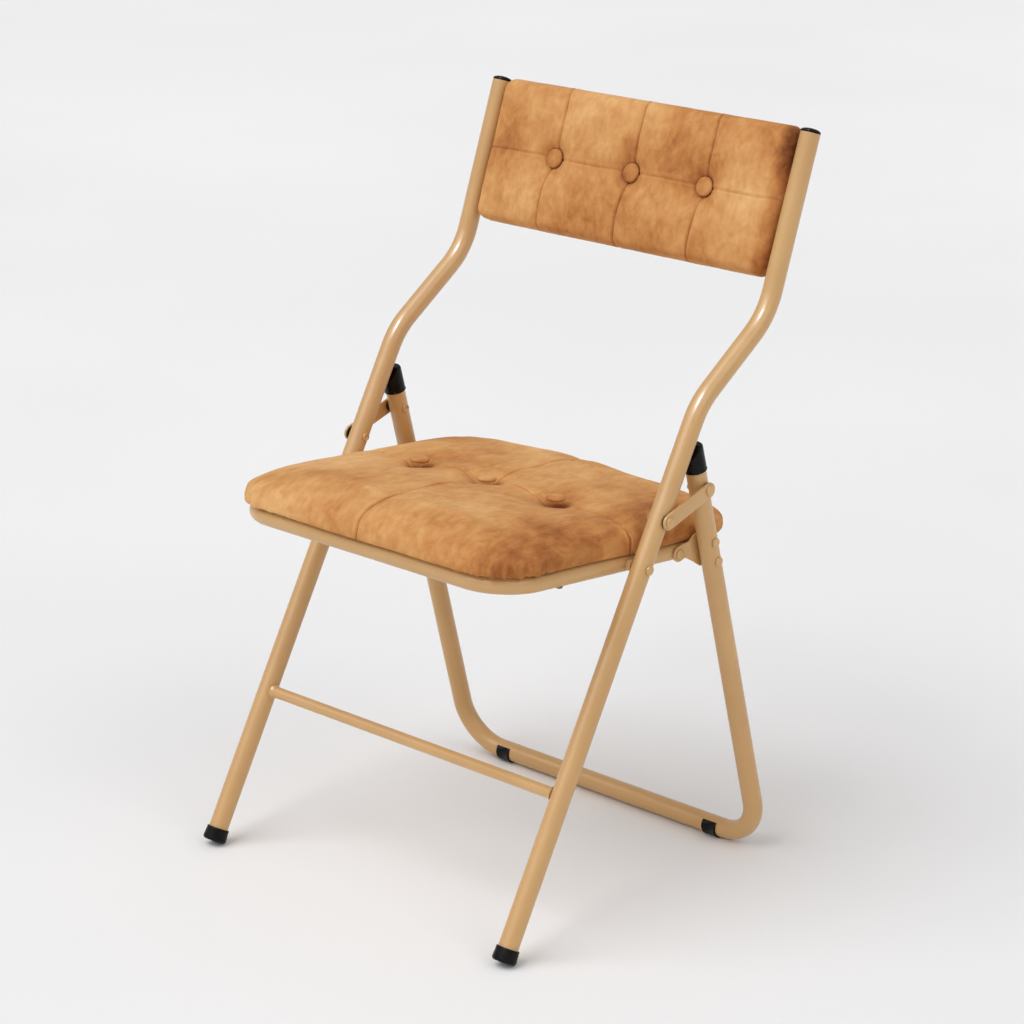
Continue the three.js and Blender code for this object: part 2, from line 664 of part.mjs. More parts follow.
// ---------------------------------------------------------------- pivot rivets and spacers
for (const [word, side] of sides) {
  const railInnerX = RAIL_X - RAIL_RADIUS;
  const seatRivet = rivet(seatPivot, side, outerFaceX + GAP, railInnerX - GAP, 5.6, 4.6);
  addPiece(`seat_pivot_rivet_${word}`, seatRivet, rivetPaint);
  const spacer = ringAcrossX(seatPivot, side, railOuterX + GAP, innerFaceX - GAP, 6.5);
  addPiece(`seat_pivot_spacer_${word}`, spacer, steelPaint);
  const frontRivet = rivet(linkPivot, side, linkOuterX + GAP, innerFaceX - GAP, 6, 4.6);
  addPiece(`link_rivet_front_${word}`, frontRivet, rivetPaint);
  const rearRivet = rivet(linkRearPivot, side, linkOuterX + GAP, innerFaceX - GAP, 6, 4.6);
  addPiece(`link_rivet_rear_${word}`, rearRivet, rivetPaint);
  // The nose rivet stops just short of the seat rail, which it meets again once folded.
  const noseRivet = rivet(bracketPivot, side, noseX + PLATE_THICKNESS + GAP, noseX, 5.3, 0);
  addPiece(`bracket_pivot_rivet_${word}`, noseRivet, rivetPaint);
}

// ---------------------------------------------------------------- seat
const boardBottom = RAIL_RADIUS + GAP;
const boardTop = boardBottom + SEAT_BOARD_THICKNESS;
const seatScrews = [-96, 112].flatMap((back) => sides.map(([, side]) => [side * RAIL_X, back]));

/** Closed ring of tube with rounded corners that carries the seat board. */
function seatFrame() {
  const corners = [
    [-RAIL_X, -RING_FRONT], [RAIL_X, -RING_FRONT], [RAIL_X, RING_REAR], [-RAIL_X, RING_REAR],
  ].map(([x, back]) => new THREE.Vector3(x, back, 0));
  const path = roundedPath(corners, RING_CORNER, 5, true);
  const zAxis = new THREE.Vector3(0, 0, 1);
  const ring = tubeAlong(path, zAxis, RAIL_RADIUS, RAIL_RADIUS - TUBE_WALL, true);
  const drilled = onSeat(cut(ring, ...seatScrews.map(([x, back]) => screwHole(x, back, 0, 30))));
  return cut(drilled, ...sides.map(([, side]) => rivetHole(seatPivot, side, RAIL_X - 15, RAIL_X + 15)));
}

/** Plywood base under the seat pad. */
function seatBoard() {
  const inset = 7;
  const outline = roundedRectangle(
    SEAT_PAD_HALF_WIDTH - inset, -SEAT_PAD_FRONT + inset, SEAT_PAD_REAR - inset, SEAT_PAD_CORNER - inset);
  const board = flatPlate(outline, SEAT_BOARD_THICKNESS, 6);
  board.translate(0, 0, boardBottom);
  return onSeat(cut(board, ...seatScrews.map(([x, back]) => screwHole(x, back, boardBottom - 6))));
}

addPiece('seat_frame', seatFrame(), steelPaint);
addPiece('seat_board', seatBoard(), plywood);
{
  const outline = roundedRectangle(SEAT_PAD_HALF_WIDTH, -SEAT_PAD_FRONT, SEAT_PAD_REAR, SEAT_PAD_CORNER);
  const places = SEAT_BUTTON_X.map((x) => [x, -SEAT_BUTTON_AHEAD]);
  const cupDepth = 20;
  const pad = padSlab(outline, SEAT_PAD_THICKNESS, 13, places, cupDepth, 44);
  pad.translate(0, 0, boardTop + GAP);
  addPiece('seat_cushion', onSeat(pad), velvet);
  SEAT_BUTTON_X.forEach((x, i) => {
    const disc = button(x, -SEAT_BUTTON_AHEAD, boardTop + GAP + SEAT_PAD_THICKNESS - cupDepth + GAP);
    addPiece(`seat_button_${i + 1}`, onSeat(disc), velvetButton);
  });
}
seatScrews.forEach(([x, back], i) => {
  const reach = 2 * RAIL_RADIUS + 3.5;
  addPiece(`seat_screw_${i + 1}`, onSeat(screw(x, back, -RAIL_RADIUS - GAP, reach)), zincSteel);
});

export default group;
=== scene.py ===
"""Looks of a padded steel folding chair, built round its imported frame. Metres, +Z up, the chair faces -Y."""

import json
import math

import bmesh
import bpy
import numpy as np
from mathutils import Matrix, Vector, noise
from mathutils.bvhtree import BVHTree
from mathutils.interpolate import poly_3d_calc


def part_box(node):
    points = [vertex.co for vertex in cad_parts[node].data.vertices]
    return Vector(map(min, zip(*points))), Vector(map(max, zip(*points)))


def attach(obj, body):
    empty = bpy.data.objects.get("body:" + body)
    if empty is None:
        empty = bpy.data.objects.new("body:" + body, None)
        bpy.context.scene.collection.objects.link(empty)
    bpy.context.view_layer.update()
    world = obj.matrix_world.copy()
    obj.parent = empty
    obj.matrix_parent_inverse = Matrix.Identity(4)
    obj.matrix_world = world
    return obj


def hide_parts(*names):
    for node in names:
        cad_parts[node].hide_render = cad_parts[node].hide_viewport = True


MM = 0.001

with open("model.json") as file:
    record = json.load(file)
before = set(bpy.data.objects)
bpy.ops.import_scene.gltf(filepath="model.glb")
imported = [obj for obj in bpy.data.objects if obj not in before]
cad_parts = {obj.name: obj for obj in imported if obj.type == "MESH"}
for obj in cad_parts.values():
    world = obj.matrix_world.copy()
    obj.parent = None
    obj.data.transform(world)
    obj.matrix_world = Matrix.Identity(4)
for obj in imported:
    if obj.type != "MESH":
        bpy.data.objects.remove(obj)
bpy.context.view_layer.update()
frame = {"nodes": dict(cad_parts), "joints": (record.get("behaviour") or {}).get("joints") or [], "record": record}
record = frame["record"]
body_of = {node: body for body, nodes in record["behaviour"]["bodies"].items() for node in nodes}
slot_of = {row["node"]: row["material_slot"] for row in record["subparts"]}
joints = {joint["name"]: joint for joint in frame["joints"]}

# ---------------- driving dimensions
GAP = 0.3 * MM
TRACK = 457 * MM
TUBE_RADIUS = 11 * MM
LEG_LEAN = math.radians(28.8)
KNEE_LEAN = math.radians(54.8)
BACK_LEAN = math.radians(19.5)
REAR_LEAN = math.radians(14.5)
SEAT_TILT = math.radians(4.35)
LOWER_BEND_Z = 547 * MM
UPPER_BEND_Z = 623 * MM
TUBE_TOP_Z = 810.5 * MM
TUBE_BEND_RADIUS = 88 * MM
FOOT_START = 9.5 * MM
REAR_TUBE_LENGTH = 487 * MM
REAR_BEND_RADIUS = 54 * MM
LINK_PIVOT_UP_REAR = 456.5 * MM
STRETCHER_RADIUS = 6.5 * MM
RAIL_X = 200.5 * MM
RAIL_RADIUS = 10 * MM
RING_FRONT = 181.5 * MM
RING_REAR = 166 * MM
RING_CORNER = 50 * MM
STRAP_HALF_WIDTH = 8.5 * MM
RIVET_RADIUS = 3 * MM

SEAT_BUTTON_X = [-104 * MM, 0, 103 * MM]
BACK_BUTTON_X = [-111 * MM, 5 * MM, 112 * MM]
BUTTON_RADIUS = 11 * MM
BUTTON_BED = 9 * MM               # the flat spot under each button
BUTTON_HOLD = 13 * MM             # the cover is held down this far round a button


# ---------------- places on the chair
seat_pivot = Vector(joints["seat_fold"]["pos_m"])
link_pivot = Vector(joints["link_left_swing"]["pos_m"])
link_rear_pivot = Vector(joints["rear_leg_fold"]["pos_m"])

leg_up = Vector((0, math.sin(LEG_LEAN), math.cos(LEG_LEAN)))
rear_up = Vector((0, -math.sin(REAR_LEAN), math.cos(REAR_LEAN)))
rear_back = Vector((0, math.cos(REAR_LEAN), math.sin(REAR_LEAN)))
back_up = Vector((0, math.sin(BACK_LEAN), math.cos(BACK_LEAN)))
back_forward = Vector((0, -math.cos(BACK_LEAN), math.sin(BACK_LEAN)))


def middle(node):
    """The centre of a frame node's box."""
    low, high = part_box(node)
    return (low + high) / 2


def on_front_leg(z, x=0.0):
    """The point on the front leg's axis at height z."""
    return Vector((x, seat_pivot.y + math.tan(LEG_LEAN) * (z - seat_pivot.z), z))


def on_rear_leg(up, backward=0.0, x=0.0):
    """The point up the rear leg from its floor bar, and backward from its axis."""
    p = link_rear_pivot + rear_up * (up - LINK_PIVOT_UP_REAR) + rear_back * backward
    return Vector((x, p.y, p.z))


def knee_point(start, lean, z):
    """The point at height z on the line that leaves start at this lean."""
    return Vector((start.x, start.y + math.tan(lean) * (z - start.z), z))


lower_bend = on_front_leg(LOWER_BEND_Z)
upper_bend = knee_point(lower_bend, KNEE_LEAN, UPPER_BEND_Z)
tube_top = knee_point(upper_bend, BACK_LEAN, TUBE_TOP_Z)


def axes_at(origin, x_axis, y_axis, z_axis):
    """The matrix that places a piece drawn in the given axes at origin."""
    m = Matrix((x_axis, y_axis, z_axis)).transposed().to_4x4()
    m.translation = origin
    return m


x_unit = Vector((1, 0, 0))
seat_frame = axes_at(
    Vector((0, seat_pivot.y, seat_pivot.z)),
    x_unit,
    Vector((0, math.cos(SEAT_TILT), -math.sin(SEAT_TILT))),
    Vector((0, math.sin(SEAT_TILT), math.cos(SEAT_TILT))),
)
back_frame = axes_at(tube_top, x_unit, back_up, back_forward)


def along(origin, direction):
    """The matrix that turns a piece drawn along +Z to direction and moves it to origin."""
    turn = Vector((0, 0, 1)).rotation_difference(direction.normalized())
    return Matrix.Translation(origin) @ turn.to_matrix().to_4x4()


# ---------------- materials
def srgb(red, green, blue):
    """A colour given as 0-255 screen values, as the linear colour that shaders use."""
    def linear(value):
        value /= 255
        return value / 12.92 if value <= 0.04045 else ((value + 0.055) / 1.055) ** 2.4

    return (linear(red), linear(green), linear(blue), 1.0)


class Shader:
    """A new material and short calls that add its nodes."""

    def __init__(self, name, roughness, metallic=0.0):
        self.material = bpy.data.materials.new(name)
        self.material.use_nodes = True
        self.tree = self.material.node_tree
        self.surface = self.tree.nodes["Principled BSDF"]
        self.surface.inputs["Roughness"].default_value = roughness
        self.surface.inputs["Metallic"].default_value = metallic
        self.place = self.tree.nodes.new("ShaderNodeTexCoord").outputs["Object"]

    def link(self, output, name):
        self.tree.links.new(output, self.surface.inputs[name])

    def stretched(self, scale, turn=(0, 0, 0)):
        """Object coordinates scaled along each axis, for a pattern that runs one way."""
        node = self.tree.nodes.new("ShaderNodeMapping")
        node.inputs["Scale"].default_value = scale
        node.inputs["Rotation"].default_value = turn
        self.tree.links.new(self.place, node.inputs["Vector"])
        return node.outputs["Vector"]

    def noise(self, scale, detail=2.0, roughness=0.5, distortion=0.0, place=None):
        node = self.tree.nodes.new("ShaderNodeTexNoise")
        node.inputs["Scale"].default_value = scale
        node.inputs["Detail"].default_value = detail
        node.inputs["Roughness"].default_value = roughness
        node.inputs["Distortion"].default_value = distortion
        self.tree.links.new(place or self.place, node.inputs["Vector"])
        return node.outputs["Fac"]

    def math(self, operation, a, b):
        node = self.tree.nodes.new("ShaderNodeMath")
        node.operation = operation
        for socket, value in zip(node.inputs, (a, b)):
            if isinstance(value, (int, float)):
                socket.default_value = value
            else:
                self.tree.links.new(value, socket)
        return node.outputs["Value"]

    def spread(self, value, low, high, to_low=0.0, to_high=1.0):
        """value mapped from low..high to to_low..to_high, and held inside."""
        node = self.tree.nodes.new("ShaderNodeMapRange")
        for name, number in zip(("From Min", "From Max", "To Min", "To Max"), (low, high, to_low, to_high)):
            node.inputs[name].default_value = number
        self.tree.links.new(value, node.inputs["Value"])
        return node.outputs["Result"]

    def ramp(self, value, *stops):
        """A colour for each place along value. The stops are (place, colour)."""
        node = self.tree.nodes.new("ShaderNodeValToRGB")
        elements = node.color_ramp.elements
        while len(elements) < len(stops):
            elements.new(0.5)
        for element, (place, color) in zip(elements, stops):
            element.position = place
            element.color = color
        self.tree.links.new(value, node.inputs["Fac"])
        return node.outputs["Color"]

    def attribute(self, name):
        node = self.tree.nodes.new("ShaderNodeAttribute")
        node.attribute_name = name
        return node.outputs["Fac"]

    def bump(self, height, distance, strength=1.0, below=None):
        node = self.tree.nodes.new("ShaderNodeBump")
        node.inputs["Distance"].default_value = distance
        node.inputs["Strength"].default_value = strength
        self.tree.links.new(height, node.inputs["Height"])
        if below is not None:
            self.tree.links.new(below, node.inputs["Normal"])
        return node.outputs["Normal"]


def powder_coat(name, light, dark, roughness):
    """Satin powder coat: near-even colour, a faint orange-peel skin and slightly uneven gloss."""
    s = Shader(name, roughness)
    clouds = s.noise(9, detail=3)
    s.link(s.ramp(clouds, (0.35, dark), (0.65, light)), "Base Color")
    s.link(s.spread(s.noise(40, detail=3), 0.3, 0.7, roughness - 0.04, roughness + 0.06), "Roughness")
    skin = s.bump(s.noise(700, detail=1), 0.00012, 0.35)
    s.link(s.bump(s.noise(160, detail=2), 0.0002, 0.2, below=skin), "Normal")
    s.surface.inputs["Specular IOR Level"].default_value = 0.5
    s.surface.inputs["Coat Weight"].default_value = 0.3
    s.surface.inputs["Coat Roughness"].default_value = 0.14
    return s.material


def moulded(name, light, dark, roughness, grain):
    """Moulded plastic or rubber: dark, with a fine grain and duller scuffs."""
    s = Shader(name, roughness)
    s.link(s.ramp(s.noise(60, detail=4), (0.35, dark), (0.7, light)), "Base Color")
    s.link(s.spread(s.noise(120, detail=5), 0.35, 0.7, roughness - 0.05, roughness + 0.12), "Roughness")
    s.link(s.bump(s.noise(grain, detail=2), 0.00015, 0.25), "Normal")
    s.surface.inputs["Specular IOR Level"].default_value = 0.14
    return s.material


def crushed_velvet(name):
    """
    Short-pile velvet. Broad patches where the pile lies one way or the other, smaller brushed
    flecks, painted shade (a darker pile colour) in the seams, round the buttons and down the pads' right-hand
    sides, a soft sheen and a fine nap.
    """
    s = Shader(name, 0.85)
    patches = s.noise(9, detail=2, roughness=0.5, distortion=0.3)
    flecks = s.noise(42, detail=5, roughness=0.65, distortion=0.6)
    strokes = s.noise(130, detail=3, roughness=0.6, place=s.stretched((1.0, 0.35, 0.6), (0.3, 0.2, 0.9)))
    pile = s.math("ADD", s.math("MULTIPLY", patches, 0.5), s.math("MULTIPLY", flecks, 0.3))
    pile = s.math("ADD", pile, s.math("MULTIPLY", strokes, 0.2))
    # Painted shade: the pile colour is darkened by each point's stored painted shade value.
    pile = s.math("SUBTRACT", pile, s.math("MULTIPLY", s.attribute("painted_shade"), 0.16))
    color = s.ramp(
        pile,
        (0.16, srgb(96, 50, 20)),
        (0.30, srgb(162, 98, 48)),
        (0.41, srgb(192, 130, 72)),
        (0.52, srgb(210, 155, 96)),
        (0.66, srgb(230, 182, 125)),
    )
    s.link(color, "Base Color")
    s.link(s.spread(flecks, 0.3, 0.7, 0.72, 0.92), "Roughness")
    nap = s.bump(s.noise(2600, detail=2), 0.00025, 0.35)
    brushed = s.bump(s.noise(420, detail=3, place=s.stretched((1.0, 0.4, 1.0))), 0.0003, 0.3, below=nap)
    s.link(s.bump(flecks, 0.0016, 0.35, below=brushed), "Normal")
    s.surface.inputs["Specular IOR Level"].default_value = 0.15
    s.surface.inputs["Sheen Weight"].default_value = 0.22
    s.surface.inputs["Sheen Roughness"].default_value = 0.4
    s.surface.inputs["Sheen Tint"].default_value = srgb(255, 214, 160)
    return s.material


def plywood(name):
    """Plain birch plywood: long grain along X and faint darker streaks."""
    s = Shader(name, 0.7)
    grain = s.noise(30, detail=6, roughness=0.6, distortion=0.8, place=s.stretched((0.25, 3.0, 3.0)))
    color = s.ramp(grain, (0.3, srgb(160, 118, 74)), (0.5, srgb(198, 160, 112)), (0.7, srgb(216, 184, 138)))
    s.link(color, "Base Color")
    s.link(s.bump(grain, 0.0004, 0.3), "Normal")
    return s.material


def zinc(name):
    """Yellowed zinc plate with a faint mottle."""
    s = Shader(name, 0.32, metallic=0.9)
    color = s.ramp(s.noise(300, detail=3), (0.35, srgb(150, 128, 96)), (0.7, srgb(182, 160, 124)))
    s.link(color, "Base Color")
    s.link(s.spread(s.noise(500), 0.3, 0.7, 0.26, 0.42), "Roughness")
    return s.material


materials = {
    "steel_paint": powder_coat("steel_paint", srgb(203, 160, 104), srgb(196, 152, 96), 0.36),
    "rivet_paint": powder_coat("rivet_paint", srgb(206, 164, 108), srgb(198, 155, 99), 0.33),
    "black_plastic": moulded("black_plastic", srgb(18, 19, 18), srgb(9, 10, 10), 0.24, 900),
    "black_rubber": moulded("black_rubber", srgb(13, 14, 12), srgb(8, 8, 7), 0.38, 1400),
    # Painted shade: the washers' dark brown stands in for the shade at the strap ends beside the tubes.
    "dark_washer": moulded("dark_washer", srgb(52, 38, 32), srgb(36, 26, 22), 0.5, 1200),
    "velvet": crushed_velvet("velvet"),
    "plywood": plywood("plywood"),
    "zinc_steel": zinc("zinc_steel"),
}
materials["velvet_button"] = materials["velvet"]


# ---------------- mesh helpers
def new_piece(name, vertices, faces, place=None, crisp=35):
    """A new mesh object, smooth apart from edges sharper than crisp degrees, with faces turned outward."""
    mesh = bpy.data.meshes.new(name)
    mesh.from_pydata([tuple(v) for v in vertices], [], faces)
    return finished(mesh, name, place, crisp)


def piece_from(bm, name, place=None, crisp=35):
    """A new mesh object from a bmesh."""
    mesh = bpy.data.meshes.new(name)
    bm.to_mesh(mesh)
    bm.free()
    return finished(mesh, name, place, crisp)


def finished(mesh, name, place, crisp):
    if place is not None:
        mesh.transform(place)
    tidy = bmesh.new()
    tidy.from_mesh(mesh)
    bmesh.ops.remove_doubles(tidy, verts=tidy.verts, dist=1e-6)
    bmesh.ops.recalc_face_normals(tidy, faces=tidy.faces)
    tidy.to_mesh(mesh)
    tidy.free()
    mesh.shade_smooth()
    mesh.set_sharp_from_angle(angle=math.radians(crisp))
    piece = bpy.data.objects.new(name, mesh)
    bpy.context.scene.collection.objects.link(piece)
    return piece


def stand_for(piece, *nodes):
    """The piece takes the place, body and finish of these frame nodes."""
    slot = slot_of[nodes[0]]
    piece.data.materials.append(materials[slot])
    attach(piece, body_of[nodes[0]])
    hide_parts(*nodes)
    return piece


def rounded_path(corners, bend_radius, steps, closed=False):
    """A corner-to-corner path with every inner corner replaced by an arc."""
    path = []
    count = len(corners)
    for i, corner in enumerate(corners):
        if not closed and i in (0, count - 1):
            path.append(corner)
            continue
        back = (corners[i - 1] - corner).normalized()
        ahead = (corners[(i + 1) % count] - corner).normalized()
        half = back.angle(ahead) / 2
        centre = corner + (back + ahead).normalized() * (bend_radius / math.sin(half))
        first = corner + back * (bend_radius / math.tan(half)) - centre
        turn = math.pi - 2 * half
        axis = back.cross(ahead)
        for k in range(steps + 1):
            path.append(centre + Matrix.Rotation(-turn * k / steps, 3, axis) @ first)
    return path


def skin(rings, sides, closed=False):
    """Faces between rings of vertices that follow each other, with ends unless the rings are a loop."""
    faces = []
    for i in range(rings if closed else rings - 1):
        a, b = i * sides, ((i + 1) % rings) * sides
        for j in range(sides):
            k = (j + 1) % sides
            faces.append((a + j, a + k, b + k, b + j))
    if not closed:
        faces.append(tuple(range(sides)))
        faces.append(tuple((rings - 1) * sides + j for j in range(sides)))
    return faces


def sweep(name, path, normal, radius, sides=40, closed=False):
    """A round bar along a path that lies in the plane square to normal."""
    count = len(path)
    vertices = []
    for i, p in enumerate(path):
        before = path[i - 1] if closed or i > 0 else p
        after = path[(i + 1) % count] if closed or i < count - 1 else p
        tangent = ((p - before).normalized() + (after - p).normalized()).normalized()
        side = normal.cross(tangent).normalized()
        for j in range(sides):
            angle = 2 * math.pi * j / sides
            vertices.append(p + (side * math.cos(angle) + normal * math.sin(angle)) * radius)
    return new_piece(name, vertices, skin(count, sides, closed), crisp=50)


def lathe(profile, sides=48):
    """A turned bmesh: (radius, height) pairs round +Z. Points with no radius close it on the axis."""
    bm = bmesh.new()
    rings = []
    for radius, height in profile:
        if radius <= 0:
            rings.append([bm.verts.new((0, 0, height))])
        else:
            rings.append([
                bm.verts.new((radius * math.cos(a), radius * math.sin(a), height))
                for a in (2 * math.pi * j / sides for j in range(sides))
            ])
    pairs = list(zip(rings, rings[1:]))
    if len(rings[0]) > 1:
        pairs.append((rings[-1], rings[0]))
    for low, high in pairs:
        for j in range(sides):
            k = (j + 1) % sides
            corners = [low[j % len(low)], low[k % len(low)], high[k % len(high)], high[j % len(high)]]
            face = list(dict.fromkeys(corners))
            if len(face) > 2:
                bm.faces.new(face)
    return bm


def arc(centre_radius, centre_height, radius, start, end, steps=6):
    """Profile points on a circular arc, angles in degrees from the outward direction."""
    points = []
    for i in range(steps + 1):
        angle = math.radians(start + (end - start) * i / steps)
        points.append((centre_radius + radius * math.cos(angle), centre_height + radius * math.sin(angle)))
    return points


def shave(bm, point, outward):
    """Cuts off what lies outside a plane and closes the cut."""
    parts = bm.verts[:] + bm.edges[:] + bm.faces[:]
    result = bmesh.ops.bisect_plane(bm, geom=parts, plane_co=point, plane_no=outward, clear_outer=True)
    rim = [e for e in result["geom_cut"] if isinstance(e, bmesh.types.BMEdge)]
    bmesh.ops.edgeloop_fill(bm, edges=rim)


def soften(bm, width, segments=2, sharper_than=40):
    """Rounds every edge sharper than the given angle."""
    edges = [
        e for e in bm.edges
        if len(e.link_faces) == 2 and math.degrees(e.calc_face_angle(0)) > sharper_than
    ]
    bmesh.ops.bevel(
        bm, geom=edges, offset=width, segments=segments, profile=0.5, affect="EDGES", clamp_overlap=True)


def thicken(bm, faces, thick):
    """Extrudes faces that lie flat at z = 0 up to the given thickness."""
    for item in bmesh.ops.extrude_face_region(bm, geom=faces)["geom"]:
        if isinstance(item, bmesh.types.BMVert):
            item.co.z = thick


def smooth_step(value, low, high):
    """0 below low, 1 above high and a smooth rise between them."""
    t = np.clip((value - low) / (high - low), 0, 1)
    return t * t * (3 - 2 * t)


SIDES = (("left", -1), ("right", 1))


# ---------------- tubes
for word, side in SIDES:
    shift = Vector((side * TRACK / 2, 0, 0))
    foot_end = on_front_leg(FOOT_START * math.cos(LEG_LEAN))
    corners = [p + shift for p in (foot_end, lower_bend, upper_bend, tube_top)]
    tube = sweep(f"side_tube_{word}", rounded_path(corners, TUBE_BEND_RADIUS, 18), x_unit, TUBE_RADIUS)
    stand_for(tube, f"main_tube_{word}")

half = TRACK / 2
corners = [
    on_rear_leg(REAR_TUBE_LENGTH, 0, -half), on_rear_leg(0, 0, -half),
    on_rear_leg(0, 0, half), on_rear_leg(REAR_TUBE_LENGTH, 0, half),
]
tube = sweep("rear_tube", rounded_path(corners, REAR_BEND_RADIUS, 24), rear_back, TUBE_RADIUS)
stand_for(tube, "rear_leg_frame")

corners = [
    seat_frame @ Vector(p) for p in (
        (-RAIL_X, -RING_FRONT, 0), (RAIL_X, -RING_FRONT, 0), (RAIL_X, RING_REAR, 0), (-RAIL_X, RING_REAR, 0))
]
ring_normal = seat_frame.to_3x3() @ Vector((0, 0, 1))
ring_path = rounded_path(corners, RING_CORNER, 20, closed=True)
stand_for(sweep("seat_ring", ring_path, ring_normal, RAIL_RADIUS, closed=True), "seat_frame")


def stretcher():
    """The thin cross tube, its ends coped to the front legs with a small weld fillet."""
    at = middle("front_stretcher")
    across = leg_up.cross(x_unit).normalized()
    sides = 40
    stations = [(0.0, 1.32), (1.2 * MM, 1.14), (3 * MM, 1.03), (5 * MM, 1.0)]
    vertices = []
    for side, order in ((-1, stations), (1, stations[::-1])):
        for inset, flare in order:
            for j in range(sides):
                angle = 2 * math.pi * j / sides
                offset = Vector((0, math.cos(angle), math.sin(angle))) * STRETCHER_RADIUS
                away = offset.dot(across)
                reach = half - math.sqrt((TUBE_RADIUS + 2 * GAP) ** 2 - away ** 2) - inset
                vertices.append(at + offset * flare + Vector((side * reach, 0, 0)))
    return new_piece("cross_tube", vertices, skin(2 * len(stations), sides), crisp=50)


stand_for(stretcher(), "front_stretcher")


# ---------------- feet, caps, plugs and glides
def rubber_foot(word, side):
    """Rubber ferrule: a slightly flared cup with a rounded sole and a lip round its mouth."""
    sole, top, bore = 5.4 * MM, 21 * MM, TUBE_RADIUS + GAP
    profile = [(0, sole), (9 * MM, sole)]
    profile += arc(10.4 * MM, sole + 3 * MM, 3 * MM, -80, 0, 7)
    profile += [(12.7 * MM, top - 2.6 * MM), (12.75 * MM, top - 2.2 * MM)]
    profile += arc(12.0 * MM, top - 0.8 * MM, 0.8 * MM, 0, 90, 4)
    profile += [(bore, top), (bore, FOOT_START - GAP), (0, FOOT_START - GAP)]
    bm = lathe(profile)
    bm.transform(along(on_front_leg(0, side * half), leg_up))
    shave(bm, Vector((0, 0, 0)), Vector((0, 0, -1)))
    return piece_from(bm, f"foot_{word}")


def leg_cap(word, side):
    """Plastic cap of a rear leg: a slim flared skirt, a tapering body and a slanted face on the front leg."""
    bore = TUBE_RADIUS + GAP
    rim, top = 478 * MM, 508 * MM
    profile = [(0, REAR_TUBE_LENGTH + GAP), (bore, REAR_TUBE_LENGTH + GAP), (bore, rim), (12.4 * MM, rim)]
    profile += arc(12.1 * MM, rim + 0.8 * MM, 0.6 * MM, -30, 60, 4)
    profile += [(12.2 * MM, rim + 3 * MM), (12.1 * MM, top - 8 * MM)]
    profile += arc(8.4 * MM, top - 3.6 * MM, 3.6 * MM, 8, 88, 7)
    profile += [(0, top)]
    bm = lathe(profile)
    bm.transform(along(on_rear_leg(0, 0, side * half), rear_up))
    behind_leg = Vector((0, -math.cos(LEG_LEAN), math.sin(LEG_LEAN)))
    face = on_front_leg(on_rear_leg(top).z, side * half) - behind_leg * (TUBE_RADIUS + GAP)
    shave(bm, face, behind_leg)
    soften(bm, 0.7 * MM, 3, sharper_than=48)
    return piece_from(bm, f"leg_cap_{word}")


def tube_plug(word, side):
    """Domed plug pressed into the open top of a side tube."""
    profile = [(0, -6 * MM), (9 * MM, -6 * MM), (9.4 * MM, -5 * MM), (9.4 * MM, GAP)]
    profile += [(TUBE_RADIUS - 0.1 * MM, GAP), (TUBE_RADIUS, 0.5 * MM), (TUBE_RADIUS, 1.6 * MM)]
    for i in range(1, 9):
        angle = math.radians(90 * i / 9)
        profile.append((TUBE_RADIUS * math.cos(angle), 1.6 * MM + 3.6 * MM * math.sin(angle)))
    profile.append((0, 5.2 * MM))
    return piece_from(lathe(profile), f"plug_{word}", along(tube_top + Vector((side * half, 0, 0)), back_up))


def glide(word, side):
    """C-shaped clip round the floor bar, open at the top, with a flat sole and a raised lip at each end."""
    at = middle(f"floor_glide_{word}")
    at.z = on_rear_leg(0).z
    at.y = on_rear_leg(0).y
    inner = TUBE_RADIUS + GAP
    half_width = 10 * MM
    opening = math.radians(50)
    ribs = [(-1.0, 1.1), (-0.94, 1.5), (-0.78, 1.5), (-0.72, 1.15)]
    ribs += [(-place, wall) for place, wall in reversed(ribs)]
    steps = 56
    sweep_angle = 2 * math.pi - 2 * opening
    bm = bmesh.new()
    grid = []
    for place, wall in [(-1.0, 0.0), *ribs, (1.0, 0.0)]:
        row = []
        for k in range(steps + 1):
            angle = math.pi / 2 + opening + sweep_angle * k / steps
            taper = min(1.0, 0.45 + 4 * min(k, steps - k) / steps)
            radius = inner + wall * MM * taper
            row.append(bm.verts.new((place * half_width, radius * math.cos(angle), radius * math.sin(angle))))
        grid.append(row)
    rows = len(grid)
    for i in range(rows):
        following = grid[(i + 1) % rows]
        for k in range(steps):
            bm.faces.new((grid[i][k], grid[i][k + 1], following[k + 1], following[k]))
    for k in (0, steps):
        bm.faces.new([row[k] for row in grid])
    bm.transform(Matrix.Translation(at))
    bmesh.ops.recalc_face_normals(bm, faces=bm.faces)
    for vertex in bm.verts:
        vertex.co.z = max(vertex.co.z, 0.0)
    return piece_from(bm, f"glide_{word}")


for word, side in SIDES:
    stand_for(rubber_foot(word, side), f"front_foot_{word}")
    stand_for(leg_cap(word, side), f"rear_cap_{word}")
    stand_for(tube_plug(word, side), f"top_plug_{word}")
    stand_for(glide(word, side), f"floor_glide_{word}")


